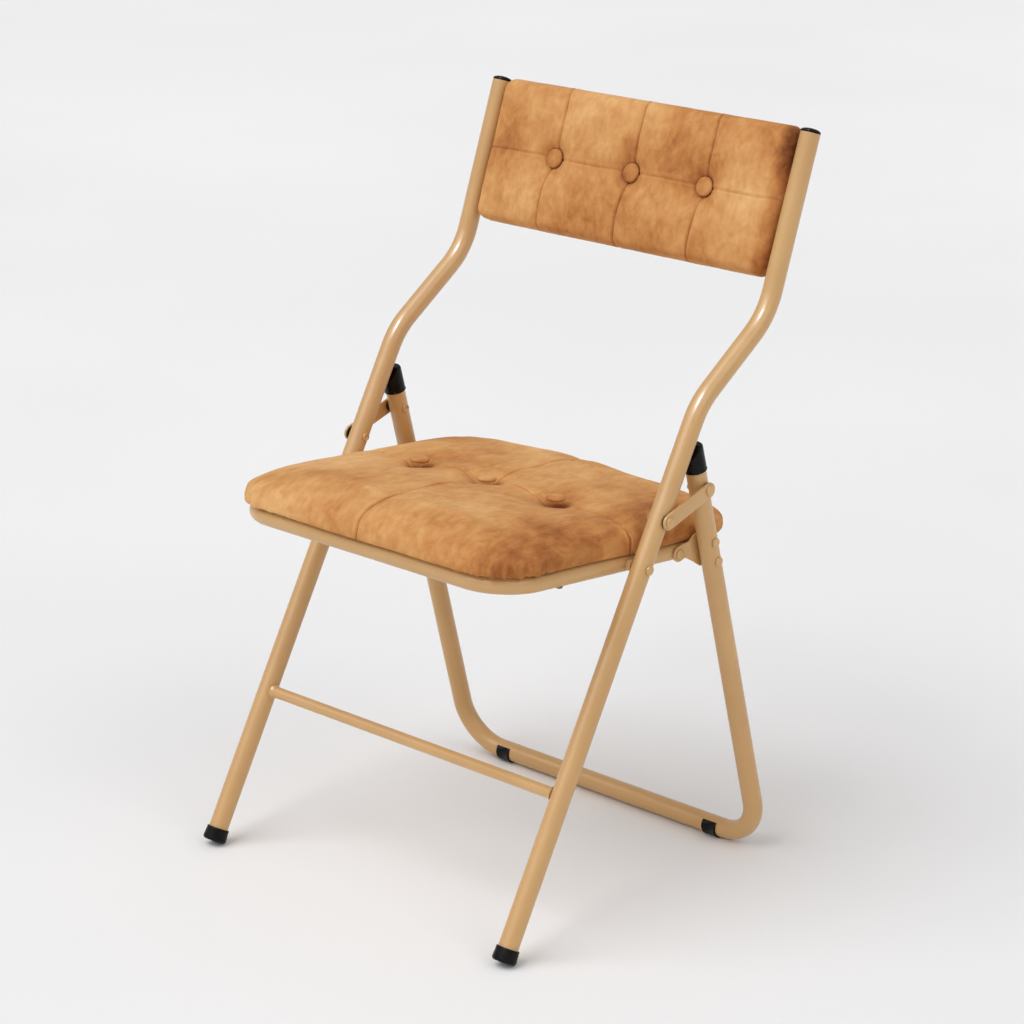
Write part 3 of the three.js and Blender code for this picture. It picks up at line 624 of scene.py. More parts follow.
# ---------------- rivets, washers and spacers
def rivet(node, head_radius, tail_radius):
    """A rivet along X inside its node's box: low domed head outside, rolled tail inside."""
    low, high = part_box(node)
    side = 1 if low.x > 0 else -1
    outer, inner = (high.x, low.x) if side > 0 else (-low.x, -high.x)
    tail_depth = 1.6 * MM if tail_radius else 0.0
    dome, lip = 2.4 * MM, 0.6 * MM
    head = outer - inner - tail_depth - dome
    if tail_radius:
        curl = 0.8 * MM
        profile = [(0, -0.3 * MM), (tail_radius - 2.6 * curl, -0.4 * MM)]
        profile += arc(tail_radius - curl, -0.8 * MM, curl, 200, 360, 7)
        profile += [(tail_radius, -0.02 * MM), (RIVET_RADIUS, 0)]
    else:
        profile = [(0, 0), (RIVET_RADIUS, 0)]
    profile += [(RIVET_RADIUS, head), (head_radius - 0.3 * MM, head), (head_radius, head + 0.3 * MM)]
    for i in range(9):
        angle = math.radians(90 * i / 9)
        flat = 0.75 + 0.25 * math.cos(angle)
        rise = (dome - lip) * math.sin(angle) * flat
        profile.append((head_radius * math.cos(angle) ** 0.8, head + lip + rise))
    profile.append((0, head + lip + (dome - lip) * 0.75))
    centre = (low + high) / 2
    base = Vector((side * (inner + tail_depth), centre.y, centre.z))
    name = node.replace("rivet", "pin")
    return piece_from(lathe(profile), name, along(base, Vector((side, 0, 0))), crisp=60)


def flat_ring(node):
    """A washer or spacer along X with softened rims, inside its node's box."""
    low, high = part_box(node)
    outer = (high.z - low.z) / 2
    inner = RIVET_RADIUS + GAP + 0.1 * MM
    thick = high.x - low.x
    round_off = 0.3 * MM
    profile = [(inner, 0), (outer - round_off, 0), (outer, round_off)]
    profile += [(outer, thick - round_off), (outer - round_off, thick), (inner, thick)]
    centre = (low + high) / 2
    place = along(Vector((low.x, centre.y, centre.z)), x_unit)
    return piece_from(lathe(profile, 36), node.replace("washer", "shim").replace("spacer", "sleeve"), place)


RIVETS = (
    ("seat_pivot_rivet", 5.6 * MM, 4.6 * MM),
    ("link_rivet_front", 6 * MM, 4.6 * MM),
    ("link_rivet_rear", 6 * MM, 4.6 * MM),
    ("bracket_rivet_upper", 5.3 * MM, 4.6 * MM),
    ("bracket_rivet_lower", 5.3 * MM, 4.6 * MM),
    ("bracket_pivot_rivet", 5.3 * MM, 0),
)
for word, side in SIDES:
    for stem, head_radius, tail_radius in RIVETS:
        node = f"{stem}_{word}"
        stand_for(rivet(node, head_radius, tail_radius), node)
    # The link washers' dark finish is painted shade at the strap ends.
    for node in (f"link_washer_front_{word}", f"link_washer_rear_{word}", f"seat_pivot_spacer_{word}"):
        stand_for(flat_ring(node), node)


# ---------------- links and brackets
def strap(word, side):
    """Flat strap with round ends and softly pressed edges, from the front leg to the rear leg."""
    low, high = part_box(f"link_{word}")
    run = Vector((0, link_rear_pivot.y - link_pivot.y, link_rear_pivot.z - link_pivot.z))
    bm = bmesh.new()
    outline = []
    steps = 20
    for end, start in ((0.0, 90), (run.length, -90)):
        for k in range(steps + 1):
            angle = math.radians(start + 180 * k / steps)
            x, y = end + STRAP_HALF_WIDTH * math.cos(angle), STRAP_HALF_WIDTH * math.sin(angle)
            outline.append(bm.verts.new((x, y, 0)))
    thicken(bm, [bm.faces.new(outline)], high.x - low.x)
    soften(bm, 0.7 * MM, 3)
    direction = run.normalized()
    place = axes_at(Vector((low.x, link_pivot.y, link_pivot.z)), direction, x_unit.cross(direction), x_unit)
    return piece_from(bm, f"strap_{word}", place)


def bracket_plate(word, side):
    """Pressed plate on a rear leg that steps inward towards its round nose on the seat rail."""
    pivot = middle(f"bracket_pivot_rivet_{word}") - on_rear_leg(0)
    nose_up, nose_back = pivot.dot(rear_up), pivot.dot(rear_back)
    nose = 8.5 * MM
    foot, head = 360 * MM, 399 * MM
    outline = [(4 * MM, head), (-8 * MM, head), (-18 * MM, nose_up + nose)]
    for k in range(17):
        angle = math.radians(90 + 180 * k / 16)
        outline.append((nose_back + nose * math.cos(angle), nose_up + nose * math.sin(angle)))
    outline += [(-22 * MM, nose_up - nose), (-6 * MM, foot), (4 * MM, foot)]
    bm = bmesh.new()
    bm.faces.new([bm.verts.new((back, up, 0)) for back, up in outline])
    bend_start, bend_length, cuts = -23 * MM, 8 * MM, 8
    for k in range(cuts + 1):
        cut_at = Vector((bend_start + bend_length * k / cuts, 0, 0))
        parts = bm.verts[:] + bm.edges[:] + bm.faces[:]
        bmesh.ops.bisect_plane(bm, geom=parts, plane_co=cut_at, plane_no=x_unit)
    low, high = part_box(f"bracket_{word}")
    thick = 2.5 * MM
    nose_x = min(abs(low.x), abs(high.x))
    step = abs(high.x - low.x) - thick
    thicken(bm, bm.faces[:], thick)
    bmesh.ops.recalc_face_normals(bm, faces=bm.faces)
    soften(bm, 0.5 * MM, 2, sharper_than=60)
    for vertex in bm.verts:
        vertex.co.z += step * smooth_step(vertex.co.x, bend_start, bend_start + bend_length)
    place = axes_at(on_rear_leg(0, 0, side * nose_x), rear_back, rear_up, x_unit * side)
    return piece_from(bm, f"plate_{word}", place)


for word, side in SIDES:
    stand_for(strap(word, side), f"link_{word}")
    stand_for(bracket_plate(word, side), f"bracket_{word}")


# ---------------- padded pieces
class Pad:
    """
    A padded slab drawn flat: x across, y along, z up from its base. Its plan is a rounded
    rectangle. A patch of grid lines covers the middle, and rings of the same outline turn over
    the edge, down the side and under to the base.
    """

    def __init__(self, half_x, low_y, high_y, corner, rim, lines_x, lines_y):
        self.half_x, self.low_y, self.high_y, self.corner, self.rim = half_x, low_y, high_y, corner, rim
        self.lines_x, self.lines_y = lines_x, lines_y

    def side_point(self, q, reach):
        """A point q along one side from its middle: (along, inward, normal along, normal inward)."""
        straight = reach - self.corner
        if abs(q) <= straight:
            return q, 0.0, 0.0, 1.0
        sign = math.copysign(1, q)
        angle = (abs(q) - straight) / self.corner
        along_side = sign * (straight + self.corner * math.sin(angle))
        return along_side, self.corner * (1 - math.cos(angle)), -sign * math.sin(angle), math.cos(angle)

    def outline(self):
        """The rim's places and inward normals, starting at the low left corner, low side first."""
        mid_y, half_y = (self.low_y + self.high_y) / 2, (self.high_y - self.low_y) / 2
        level = [self.side_point(q, self.half_x) for q in self.lines_x]
        upright = [self.side_point(q, half_y) for q in self.lines_y]
        loop = [(a, self.low_y + d, na, nd) for a, d, na, nd in level[:-1]]
        loop += [(self.half_x - d, mid_y + a, -nd, na) for a, d, na, nd in upright[:-1]]
        loop += [(a, self.high_y - d, na, -nd) for a, d, na, nd in level[:0:-1]]
        loop += [(-self.half_x + d, mid_y + a, nd, na) for a, d, na, nd in upright[:0:-1]]
        return np.array(loop)

    def build(self):
        """The vertices, with z still the profile's own height, and the faces."""
        loop = self.outline()
        nx, ny = len(self.lines_x) - 1, len(self.lines_y) - 1
        inset, top = self.rim[0]
        rim = loop[:, :2] + loop[:, 2:] * inset
        low, right = rim[:nx + 1], rim[nx:nx + ny + 1]
        high = rim[nx + ny:2 * nx + ny + 1][::-1]
        left = np.vstack([rim[2 * nx + ny:], rim[:1]])[::-1]
        a = ((low[:, 0] - low[0, 0]) / (low[-1, 0] - low[0, 0]))[:, None, None]
        b = ((left[:, 1] - left[0, 1]) / (left[-1, 1] - left[0, 1]))[None, :, None]
        grid = (
            (1 - b) * low[:, None] + b * high[:, None] + (1 - a) * left + a * right
            - (1 - a) * (1 - b) * low[0] - a * (1 - b) * low[-1]
            - (1 - a) * b * high[0] - a * b * high[-1]
        )
        points = [(x, y, top) for x, y in grid.reshape(-1, 2)]
        ids = np.arange(len(points)).reshape(nx + 1, ny + 1)
        corners = np.stack([ids[:-1, :-1], ids[1:, :-1], ids[1:, 1:], ids[:-1, 1:]], axis=-1)
        faces = [tuple(face) for face in corners.reshape(-1, 4).tolist()]
        previous = np.concatenate([ids[:-1, 0], ids[-1, :-1], ids[:0:-1, -1], ids[0, :0:-1]]).tolist()
        for distance, height in self.rim[1:]:
            ring = list(range(len(points), len(points) + len(loop)))
            for x, y, normal_x, normal_y in loop:
                points.append((x + normal_x * distance, y + normal_y * distance, height))
            for k in range(len(loop)):
                n = (k + 1) % len(loop)
                faces.append((previous[n], previous[k], ring[k], ring[n]))
            previous = ring
        faces.append(tuple(previous))
        return np.array(points), faces


def rim_profile(inset, height, power, steps, under):
    """
    The edge of a pad as (distance in from the outline, height): a rounded shoulder from inset in
    at full height down to the outline, then the given points under it.
    """
    points = []
    for k in range(steps + 1):
        angle = math.pi / 2 * k / steps
        across = math.sin(angle) ** (2 / power)
        points.append((inset * (1 - across), height * math.cos(angle) ** (2 / power)))
    foot = under[0][1]
    shoulder = [(d, foot + h * (height - foot) / height) for d, h in points]
    return shoulder + under[1:]


CORNER_SHARE = 0.6


def lines(reach, step, fine, near, places, corner):
    """
    Places along one side from -reach to reach, arc length through the corners, a step apart,
    closer in the corners, and down to fine within near of each of the given places.
    """
    end = reach - corner + corner * math.pi / 4
    marks = [-end]
    while marks[-1] < end:
        here = marks[-1]
        gap = min([abs(here - p) for p in places] + [1.0])
        size = fine if gap < near else min(step, fine + (gap - near) * 0.35)
        if abs(here) > reach - corner:
            size = min(size, CORNER_SHARE * step)
        ahead = [p for p in places if here + 1e-9 < p < here + size * 1.5]
        marks.append(min(ahead) if ahead else here + size)
    marks[-1] = end
    if marks[-1] - marks[-2] < fine:
        marks.pop(-2)
    return marks


def vertex_normals(points, faces):
    """Unit vertex normals, from the mesh's quads."""
    quads = np.array([f for f in faces if len(f) == 4])
    across = np.cross(points[quads[:, 2]] - points[quads[:, 0]], points[quads[:, 3]] - points[quads[:, 1]])
    normals = np.zeros_like(points)
    for corner in range(4):
        np.add.at(normals, quads[:, corner], across)
    return normals / np.maximum(np.linalg.norm(normals, axis=1), 1e-12)[:, None]


def ridge(distance, width):
    """1 on a line or a spot, falling away over about the given width."""
    return np.exp(-(distance / width) ** 2)


def dimple(reach, width):
    """1 on a button's bed, falling away round it."""
    return np.exp(-np.maximum(reach - BUTTON_BED, 0) / width)


def painted_button_shade(reach, width):
    """Painted shade round a button: 1 under it, falling away."""
    return np.exp(-(np.maximum(reach - BUTTON_BED, 0) / width) ** 1.3)


def from_button(x, y, buttons_x, seam_y):
    """Distance from the nearest button."""
    return np.min([np.hypot(x - button_x, y - seam_y) for button_x in buttons_x], axis=0)


def field(points, scale, seed):
    """Smooth noise, about -1 to 1, at each point."""
    offset = Vector((seed * 7.3, seed * 3.1, seed * 5.7))
    return np.array([noise.noise(Vector(p) * scale + offset) for p in points])


def pressed_out(points, faces, held, pressure, ease, cap, frames=16):
    """
    Cloth simulation of the cover: the points marked held stay put, the rest is blown out by
    the filling. A negative ease lets the cover grow. Returns each point's move, never above cap.
    """
    mesh = bpy.data.meshes.new("cover")
    mesh.from_pydata([tuple(p) for p in points], [], faces)
    cover = bpy.data.objects.new("cover", mesh)
    bpy.context.scene.collection.objects.link(cover)
    group = cover.vertex_groups.new(name="held")
    for index, weight in enumerate(held):
        if weight > 0.02:
            group.add([index], float(min(weight, 1)), "REPLACE")
    modifier = cover.modifiers.new("cloth", "CLOTH")
    modifier.settings.effector_weights.gravity = 0
    for setting, value in {
        "quality": 6, "mass": 0.25, "tension_stiffness": 25, "compression_stiffness": 25,
        "shear_stiffness": 12, "bending_stiffness": 0.15, "vertex_group_mass": "held",
        "shrink_min": ease, "use_pressure": True, "uniform_pressure_force": pressure,
    }.items():
        setattr(modifier.settings, setting, value)
    modifier.collision_settings.use_self_collision = False
    modifier.point_cache.frame_start = 1
    modifier.point_cache.frame_end = frames
    for number in range(1, frames + 1):
        bpy.context.scene.frame_set(number)
    evaluated = cover.evaluated_get(bpy.context.evaluated_depsgraph_get()).to_mesh()
    moved = np.zeros(len(points) * 3)
    evaluated.vertices.foreach_get("co", moved)
    moved = moved.reshape(-1, 3) - points
    bpy.data.objects.remove(cover)
    bpy.data.meshes.remove(mesh)
    bpy.context.scene.frame_set(1)
    length = np.maximum(np.linalg.norm(moved, axis=1), 1e-9)
    return moved * (cap * np.tanh(length / cap) / length)[:, None]


def carried_over(points, coarse_points, coarse_faces, moved):
    """The coarse mesh's movement at the nearest place to each point."""
    tree = BVHTree.FromPolygons([Vector(p) for p in coarse_points], coarse_faces)
    result = np.zeros_like(points)
    for index, p in enumerate(points):
        spot, _, face, _ = tree.find_nearest(Vector(p))
        ids = coarse_faces[face]
        if len(ids) > 4:
            continue
        weights = poly_3d_calc([Vector(coarse_points[i]) for i in ids], spot)
        result[index] = sum(w * moved[i] for w, i in zip(weights, ids))
    return result


def evened(values, faces, rounds):
    """The values averaged with their neighbours along the edges, so that no step is left between faces."""
    pairs = {tuple(sorted(pair)) for face in faces for pair in zip(face, face[1:] + face[:1])}
    first, second = np.array(sorted(pairs)).T
    count = np.ones(len(values))
    np.add.at(count, first, 1)
    np.add.at(count, second, 1)
    for _ in range(rounds):
        total = values.copy()
        np.add.at(total, first, values[second])
        np.add.at(total, second, values[first])
        values = total / count[:, None]
    return values


# ---------------- seat cushion
SEAT_HALF = 211.5 * MM
SEAT_FRONT = -197 * MM
SEAT_REAR = 184 * MM
SEAT_CORNER = 57 * MM
SEAT_BASE = 10.7 * MM             # the cover's lower edge, just above the ring
SEAT_LINING = 16.7 * MM           # the underside of the filling, just above the board
SEAT_SHOULDER = 35 * MM
SEAT_CROWN = 13.5 * MM
SEAT_SEAM_Y = -2 * MM
SEAT_TUFT = 16 * MM
SEAT_DIMPLE = 24 * MM
SEAT_BUTTON_BASE = 47 * MM


def seat_seams(x, y):
    """Distance from the nearest seam and from each seam, for the cross laid through the buttons."""
    wander_x = 1.6 * MM * np.sin(y * 38 + 0.6)
    wander_y = 1.4 * MM * np.sin(x * 31 + 1.1)
    return np.abs(x - wander_x), np.abs(y - SEAT_SEAM_Y - wander_y)


def seat_shape(points):
    """Raises the flat patch to its crown and draws the cover down at the buttons and seams."""
    x, y, z = points.T
    middle_y = (SEAT_FRONT + SEAT_REAR) / 2
    across = np.abs(x) / SEAT_HALF
    lengthwise = np.abs(y - middle_y) / ((SEAT_REAR - SEAT_FRONT) / 2)
    dome = np.clip(1 - across ** 2.6, 0, 1) * np.clip(1 - lengthwise ** 2.6, 0, 1)
    up = SEAT_CROWN * dome
    for button_x in SEAT_BUTTON_X:
        reach = np.hypot(x - button_x, y - SEAT_SEAM_Y)
        up -= SEAT_TUFT * dimple(reach, SEAT_DIMPLE) + 2.5 * MM * ridge(reach, 55 * MM)
    up -= 6 * MM * smooth_step(across, 0.55, 1) * smooth_step(lengthwise, 0.55, 1)
    seam_x, seam_y = seat_seams(x, y)
    up -= 2.08 * MM * ridge(seam_x, 15 * MM) + 1.76 * MM * ridge(seam_y, 13 * MM)
    shaped = points.copy()
    shaped[:, 2] = z + up * smooth_step(z, 0.4 * SEAT_SHOULDER, SEAT_SHOULDER)
    return shaped


def seat_pad(step, fine):
    """The seat pad's points and faces before its cover is worked, in the seat's own axes."""
    half_y = (SEAT_REAR - SEAT_FRONT) / 2
    seam_q = SEAT_SEAM_Y - (SEAT_FRONT + SEAT_REAR) / 2
    under = [(0.0, 12 * MM), (-0.6 * MM, 8 * MM), (-0.3 * MM, 4 * MM), (0.8 * MM, 1.2 * MM), (2.4 * MM, 0.0),
             (6.2 * MM, 0.0), (6.4 * MM, SEAT_LINING - SEAT_BASE), (20 * MM, SEAT_LINING - SEAT_BASE)]
    rim = rim_profile(46 * MM, SEAT_SHOULDER, 2.15, max(6, round(0.05 / step)), under)
    pad = Pad(
        SEAT_HALF, SEAT_FRONT, SEAT_REAR, SEAT_CORNER, rim,
        lines(SEAT_HALF, step, fine, 4 * MM, [0.0], SEAT_CORNER),
        lines(half_y, step, fine, 4 * MM, [seam_q], SEAT_CORNER),
    )
    return pad.build()


def seat_gathers(points):
    """Puckers where the cover is pulled under: deep at the front corners, slight along the front."""
    x, y, z = points.T
    angle = np.arctan2(x, -y)
    edge = np.exp(-((z - 8 * MM) / (9 * MM)) ** 2)
    right = np.exp(-((angle - 0.86) / 0.2) ** 2)
    left = np.exp(-((angle + 0.80) / 0.24) ** 2)
    front = np.exp(-(angle / 0.9) ** 4) * 0.25
    ripple = np.sin(angle * 215 + 2.2 * np.sin(angle * 17))
    fold = np.sin(angle * 98 + 1.3 * np.sin(angle * 23))
    return edge * ((1.6 * right + left) * (1.3 * MM * fold + 0.9 * MM * ripple) + front * 0.8 * MM * fold)


def seat_cushion():
    fine_points, faces = seat_pad(3.2 * MM, 1.1 * MM)
    points = seat_shape(fine_points)
    coarse, coarse_faces = seat_pad(7 * MM, 5 * MM)
    rest = seat_shape(coarse)
    x, y, z = rest.T
    held = np.max([
        0.35 * ridge(np.minimum(*seat_seams(x, y)), 4 * MM),
        from_button(x, y, SEAT_BUTTON_X, SEAT_SEAM_Y) < BUTTON_HOLD,
        coarse[:, 2] < 4 * MM,
    ], axis=0)
    moved = pressed_out(rest, coarse_faces, held, 3.0, -0.035, 3.2 * MM)
    points = points + evened(carried_over(points, rest, coarse_faces, moved), faces, 8)
    normals = vertex_normals(points, faces)
    x, y, z = fine_points.T
    seam_x, seam_y = seat_seams(x, y)
    stitched = -1.5 * MM * (ridge(seam_x, 1.5 * MM) + ridge(seam_y, 1.5 * MM))
    stitched += 0.5 * MM * (ridge(seam_x - 3.2 * MM, 1.6 * MM) + ridge(seam_y - 3.2 * MM, 1.6 * MM))
    crumple = 0.5 * MM * field(fine_points, 26, 1) + 0.35 * MM * field(fine_points, 60, 2)
    shown = smooth_step(z, 1 * MM, 5 * MM)
    points += normals * ((stitched + crumple) * shown + seat_gathers(fine_points))[:, None]
    reach = from_button(x, y, SEAT_BUTTON_X, SEAT_SEAM_Y)
    # Painted shade: darker velvet along the seams, round each button, in a ring at the button's rim, and towards
    # the seat's right-hand side.
    painted_shade = np.max([
        ridge(np.minimum(seam_x, seam_y), 1.3 * MM),
        0.8 * painted_button_shade(reach, 20 * MM),
        1.3 * smooth_step(15 * MM - reach, 0, 4 * MM),
    ], axis=0) + 0.7 * smooth_step(x, 110 * MM, 205 * MM)
    return cover_piece("seat_pad", points + [0, 0, SEAT_BASE], faces, painted_shade, seat_frame)


def mark_painted_shade(mesh, values):
    """Stores the painted shade at each point, which darkens the velvet's colour."""
    mesh.attributes.new("painted_shade", "FLOAT", "POINT").data.foreach_set("value", np.float32(values))


def cover_piece(name, points, faces, painted_shade, place):
    """A velvet cover, smooth all over."""
    mesh = bpy.data.meshes.new(name)
    mesh.from_pydata([tuple(p) for p in points], [], faces)
    mesh.transform(place)
    mark_painted_shade(mesh, painted_shade)
    mesh.shade_smooth()
    piece = bpy.data.objects.new(name, mesh)
    bpy.context.scene.collection.objects.link(piece)
    return piece


# ---------------- back pad
BACK_HALF = 214.5 * MM
BACK_LOW = -160 * MM
BACK_HIGH = 5 * MM
BACK_CORNER = 14 * MM
BACK_BASE = -11.2 * MM
BACK_LINING = -5.7 * MM
BACK_SHOULDER = 24 * MM
BACK_CROWN = 7 * MM
BACK_TUFT = 8.5 * MM
BACK_DIMPLE = 9 * MM
BACK_BUTTON_BASE = 8 * MM
BACK_SEAM_Y = (BACK_LOW + BACK_HIGH) / 2


def back_seams(x, y):
    """Distance from the horizontal seam and from the nearest of the three wavy upright seams."""
    level = np.abs(y - BACK_SEAM_Y - 0.8 * MM * np.sin(x * 30))
    upright = np.full_like(x, 1.0)
    for index, button_x in enumerate(BACK_BUTTON_X):
        away = (y - BACK_SEAM_Y) / (80 * MM)
        wave = 5 * MM * np.sin(away * 2.6) * (1 - 0.25 * index) - 3 * MM * away ** 2
        upright = np.minimum(upright, np.abs(x - button_x - wave))
    return level, upright


def back_shape(points):
    """Crowns the flat patch a little and draws the cover down at the buttons and seams."""
    x, y, z = points.T
    across = np.abs(x) / BACK_HALF
    upward = np.abs(y - BACK_SEAM_Y) / ((BACK_HIGH - BACK_LOW) / 2)
    up = BACK_CROWN * np.clip(1 - across ** 4, 0, 1) * np.clip(1 - upward ** 2.4, 0, 1)
    level, upright = back_seams(x, y)
    up -= 1.3 * MM * ridge(level, 11 * MM) + 2.4 * MM * ridge(upright, 12 * MM)
    for button_x in BACK_BUTTON_X:
        reach = np.hypot(x - button_x, y - BACK_SEAM_Y)
        up -= BACK_TUFT * dimple(reach, BACK_DIMPLE) + 2 * MM * ridge(reach, 35 * MM)
    shaped = points.copy()
    shaped[:, 2] = z + up * smooth_step(z, 0.3 * BACK_SHOULDER, BACK_SHOULDER)
    return shaped


def back_pad_mesh(step, fine):
    """The back pad's points and faces before its cover is worked, in the backrest's own axes."""
    half_y = (BACK_HIGH - BACK_LOW) / 2
    under = [(0.0, 7 * MM), (-0.5 * MM, 4.5 * MM), (0.0, 1.6 * MM), (1.0 * MM, 0.3 * MM),
             (2.7 * MM, 0.0), (2.7 * MM, BACK_LINING - BACK_BASE), (12 * MM, BACK_LINING - BACK_BASE)]
    rim = rim_profile(13 * MM, BACK_SHOULDER, 2.8, max(5, round(0.026 / step)), under)
    pad = Pad(
        BACK_HALF, BACK_LOW, BACK_HIGH, BACK_CORNER, rim,
        lines(BACK_HALF, step, fine, 6 * MM, BACK_BUTTON_X, BACK_CORNER),
        lines(half_y, step, fine, 4 * MM, [0.0], BACK_CORNER),
    )
    return pad.build()


def back_gathers(points):
    """Puckers at the pad's right-hand corners and a slack edge down that side."""
    x, y, z = points.T
    side_edge = smooth_step(x, BACK_HALF - 26 * MM, BACK_HALF - 4 * MM)
    top = np.exp(-((y - BACK_HIGH + 12 * MM) / (13 * MM)) ** 2)
    bottom = np.exp(-((y - BACK_LOW - 14 * MM) / (15 * MM)) ** 2)
    folds = np.sin((x * 0.5 + y) * 420) * (top + bottom)
    slack = 0.35 * np.sin(y * 190 + 1.0)
    return side_edge * (0.7 * MM * folds + 0.6 * MM * slack)


def back_cushion():
    fine_points, faces = back_pad_mesh(3.0 * MM, 1.1 * MM)
    points = back_shape(fine_points)
    coarse, coarse_faces = back_pad_mesh(6 * MM, 5 * MM)
    rest = back_shape(coarse)
    x, y, z = rest.T
    held = np.max([
        0.4 * ridge(np.minimum(*back_seams(x, y)), 4 * MM),
        from_button(x, y, BACK_BUTTON_X, BACK_SEAM_Y) < BUTTON_HOLD,
        coarse[:, 2] < 5 * MM,
    ], axis=0)
    moved = pressed_out(rest, coarse_faces, held, 2.5, -0.03, 1.8 * MM)
    moved = evened(carried_over(points, rest, coarse_faces, moved), faces, 14)
    from_end = BACK_HALF - np.abs(points[:, 0])
    from_edge = (BACK_HIGH - BACK_LOW) / 2 - np.abs(points[:, 1] - BACK_SEAM_Y)
    free = smooth_step(np.minimum(from_end, from_edge), 13 * MM, 34 * MM)
    points = points + moved * free[:, None]
    normals = vertex_normals(points, faces)
    x, y, z = fine_points.T
    level, upright = back_seams(x, y)
    lower_middle = ridge(x - BACK_BUTTON_X[1], 40 * MM) * smooth_step(BACK_SEAM_Y - y, 0, 30 * MM)
    stitched = -0.7 * MM * ridge(level, 1.4 * MM)
    stitched -= 1.4 * MM * (1 + 0.8 * lower_middle) * ridge(upright, 1.6 * MM)
    stitched += 0.4 * MM * ridge(level - 3 * MM, 1.5 * MM) + 0.5 * MM * ridge(upright - 3.2 * MM, 1.6 * MM)
    crumple = 0.4 * MM * field(fine_points, 30, 3) + 0.25 * MM * field(fine_points, 70, 4)
    shown = smooth_step(z, 2 * MM, 7 * MM)
    points += normals * ((stitched + crumple + back_gathers(fine_points)) * shown)[:, None]
    reach = from_button(x, y, BACK_BUTTON_X, BACK_SEAM_Y)
    # Painted shade: darker velvet along the seams, at the right-hand edge, round each button, in a ring at the
    # button's rim, and over the right half of the back.
    painted_shade = np.max([
        0.5 * ridge(level, MM),
        ridge(upright, 1.2 * MM),
        smooth_step(x, BACK_HALF - 20 * MM, BACK_HALF - 4 * MM),
        0.8 * painted_button_shade(reach, 14 * MM),
        1.3 * smooth_step(14 * MM - reach, 0, 3 * MM),
    ], axis=0) + 0.5 * smooth_step(x, -20 * MM, 160 * MM)
    return cover_piece("back_pad", points + [0, 0, BACK_BASE], faces, painted_shade, back_frame)


# ---------------- buttons
def covered_button(name, x, y, z, place, shade):
    """A velvet-covered dome, pinched into fine pleats where it tucks under. shade is the painted shade laid evenly
    over the whole button.
    """
    profile = [(0, 0), (8.5 * MM, 0)]
    profile += arc(8.6 * MM, 1.9 * MM, 1.9 * MM, -90, -20, 5)
    profile += arc(8.2 * MM, 2.2 * MM, 2.8 * MM, 0, 60, 6)
    for share in (0.75, 0.5, 0.25):
        profile.append((BUTTON_RADIUS * share * 0.8, 5.4 * MM - 0.75 * MM * (share * 1.1) ** 2))
    profile.append((0, 5.4 * MM))
    bm = lathe(profile, 64)
    for vertex in bm.verts:
        co = vertex.co
        reach = math.hypot(co.x, co.y)
        if reach > 7 * MM:
            pinch = 1 + 0.012 * math.sin(16 * math.atan2(co.y, co.x)) * (1 - min(co.z / (4 * MM), 1))
            co.x *= pinch
            co.y *= pinch
    piece = piece_from(bm, name, place @ Matrix.Translation((x, y, z)), crisp=70)
    mark_painted_shade(piece.data, [shade] * len(piece.data.vertices))
    return piece


stand_for(seat_cushion(), "seat_cushion")
stand_for(back_cushion(), "back_cushion")
# The buttons carry even painted shade: a little on the seat, more on the back.
for index, x in enumerate(SEAT_BUTTON_X, 1):
    piece = covered_button(f"seat_tuft_{index}", x, SEAT_SEAM_Y, SEAT_BUTTON_BASE, seat_frame, 0.2)
    stand_for(piece, f"seat_button_{index}")
for index, x in enumerate(BACK_BUTTON_X, 1):
    piece = covered_button(f"back_tuft_{index}", x, BACK_SEAM_Y, BACK_BUTTON_BASE, back_frame, 0.8)
    stand_for(piece, f"back_button_{index}")


# ---------------- frame nodes that stay
for node, shown in frame["nodes"].items():
    if shown.hide_render:
        continue
    # the back pad's cover goes right round its board
    slot = "velvet" if node == "back_board" else slot_of[node]
    shown.data.materials.clear()
    shown.data.materials.append(materials[slot])


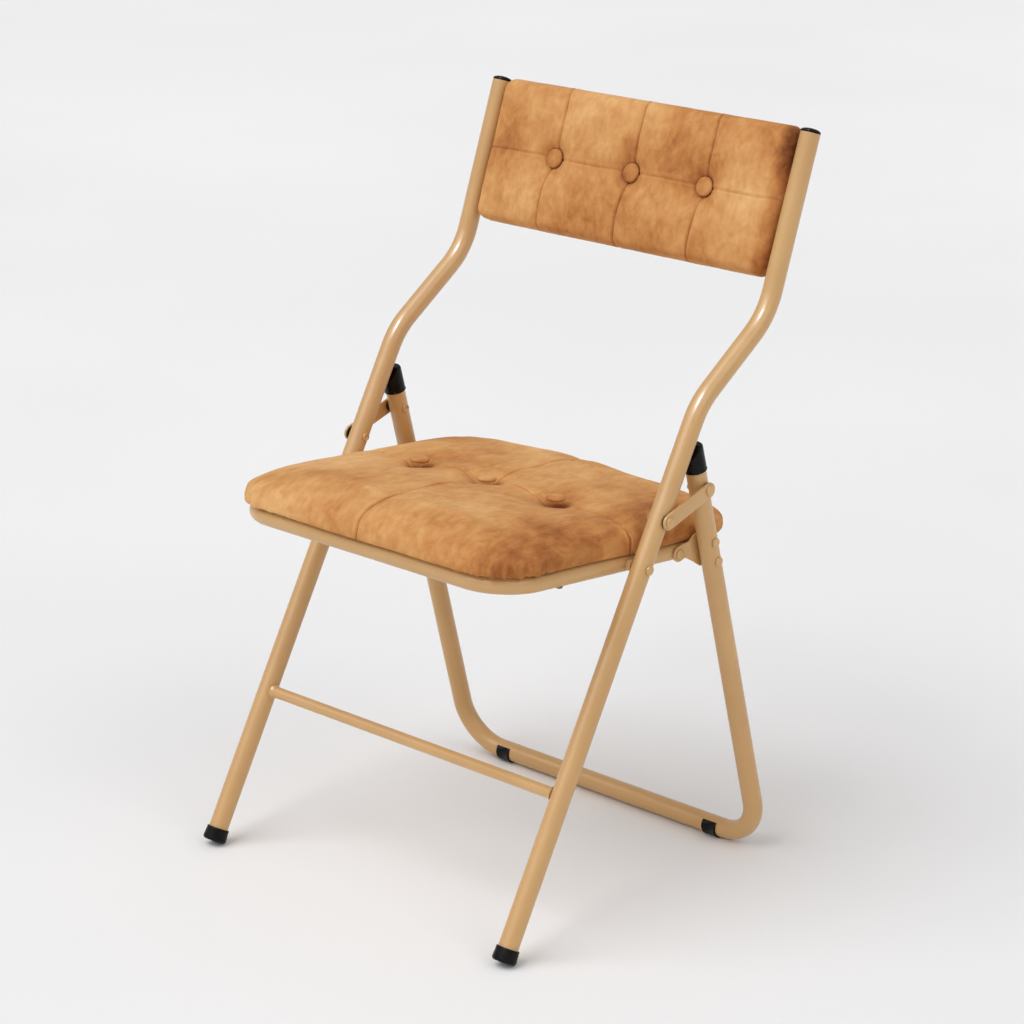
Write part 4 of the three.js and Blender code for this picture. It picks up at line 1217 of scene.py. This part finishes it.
# ---------------- floor, light and camera
FLOOR_REACH = 40


def studio():
    """A pale seamless floor under an even white room, with a wide soft light and a gleam for the paint."""
    mesh = bpy.data.meshes.new("floor")
    corners = [(x * FLOOR_REACH, y * FLOOR_REACH, 0) for x, y in ((-1, -1), (1, -1), (1, 1), (-1, 1))]
    mesh.from_pydata(corners, [], [(0, 1, 2, 3)])
    floor = bpy.data.objects.new("floor", mesh)
    bpy.context.scene.collection.objects.link(floor)
    paper = Shader("paper", 0.8)
    shades = (0.3, srgb(234, 234, 235)), (0.7, srgb(240, 240, 241))
    paper.link(paper.ramp(paper.noise(0.7, detail=2), *shades), "Base Color")
    floor.data.materials.append(paper.material)

    world = bpy.data.worlds.new("studio")
    world.use_nodes = True
    background = world.node_tree.nodes["Background"]
    background.inputs["Color"].default_value = (1, 1, 1, 1)
    background.inputs["Strength"].default_value = 0.5
    bpy.context.scene.world = world

    for name, energy, width, direction, on_gloss_only in (
        ("key", 1.55, 55, (0.3, 0.7, -1.0), False),
        ("gleam", 4.5, 10, (-0.1, 0.55, -0.9), True),
        ("rim", 0.6, 40, (-0.9, 0.1, -0.7), False),
    ):
        light = bpy.data.lights.new(name, "SUN")
        light.energy = energy
        light.angle = math.radians(width)
        holder = bpy.data.objects.new(name, light)
        holder.rotation_euler = Vector(direction).to_track_quat("-Z", "Y").to_euler()
        holder.visible_diffuse = not on_gloss_only
        bpy.context.scene.collection.objects.link(holder)


def camera():
    lens = bpy.data.cameras.new("camera")
    lens.lens = 114.09
    lens.sensor_width = 36
    lens.clip_end = 100
    holder = bpy.data.objects.new("camera", lens)
    holder.location = (2.3715, -2.43763, 1.4759)
    look = Vector((0.1175, -0.10713, 0.4419)) - holder.location
    holder.rotation_euler = look.to_track_quat("-Z", "Y").to_euler()
    holder.rotation_euler.rotate_axis("Z", math.radians(-0.11))
    bpy.context.scene.collection.objects.link(holder)
    bpy.context.scene.camera = holder


studio()
camera()
bpy.context.scene.view_settings.view_transform = "Standard"
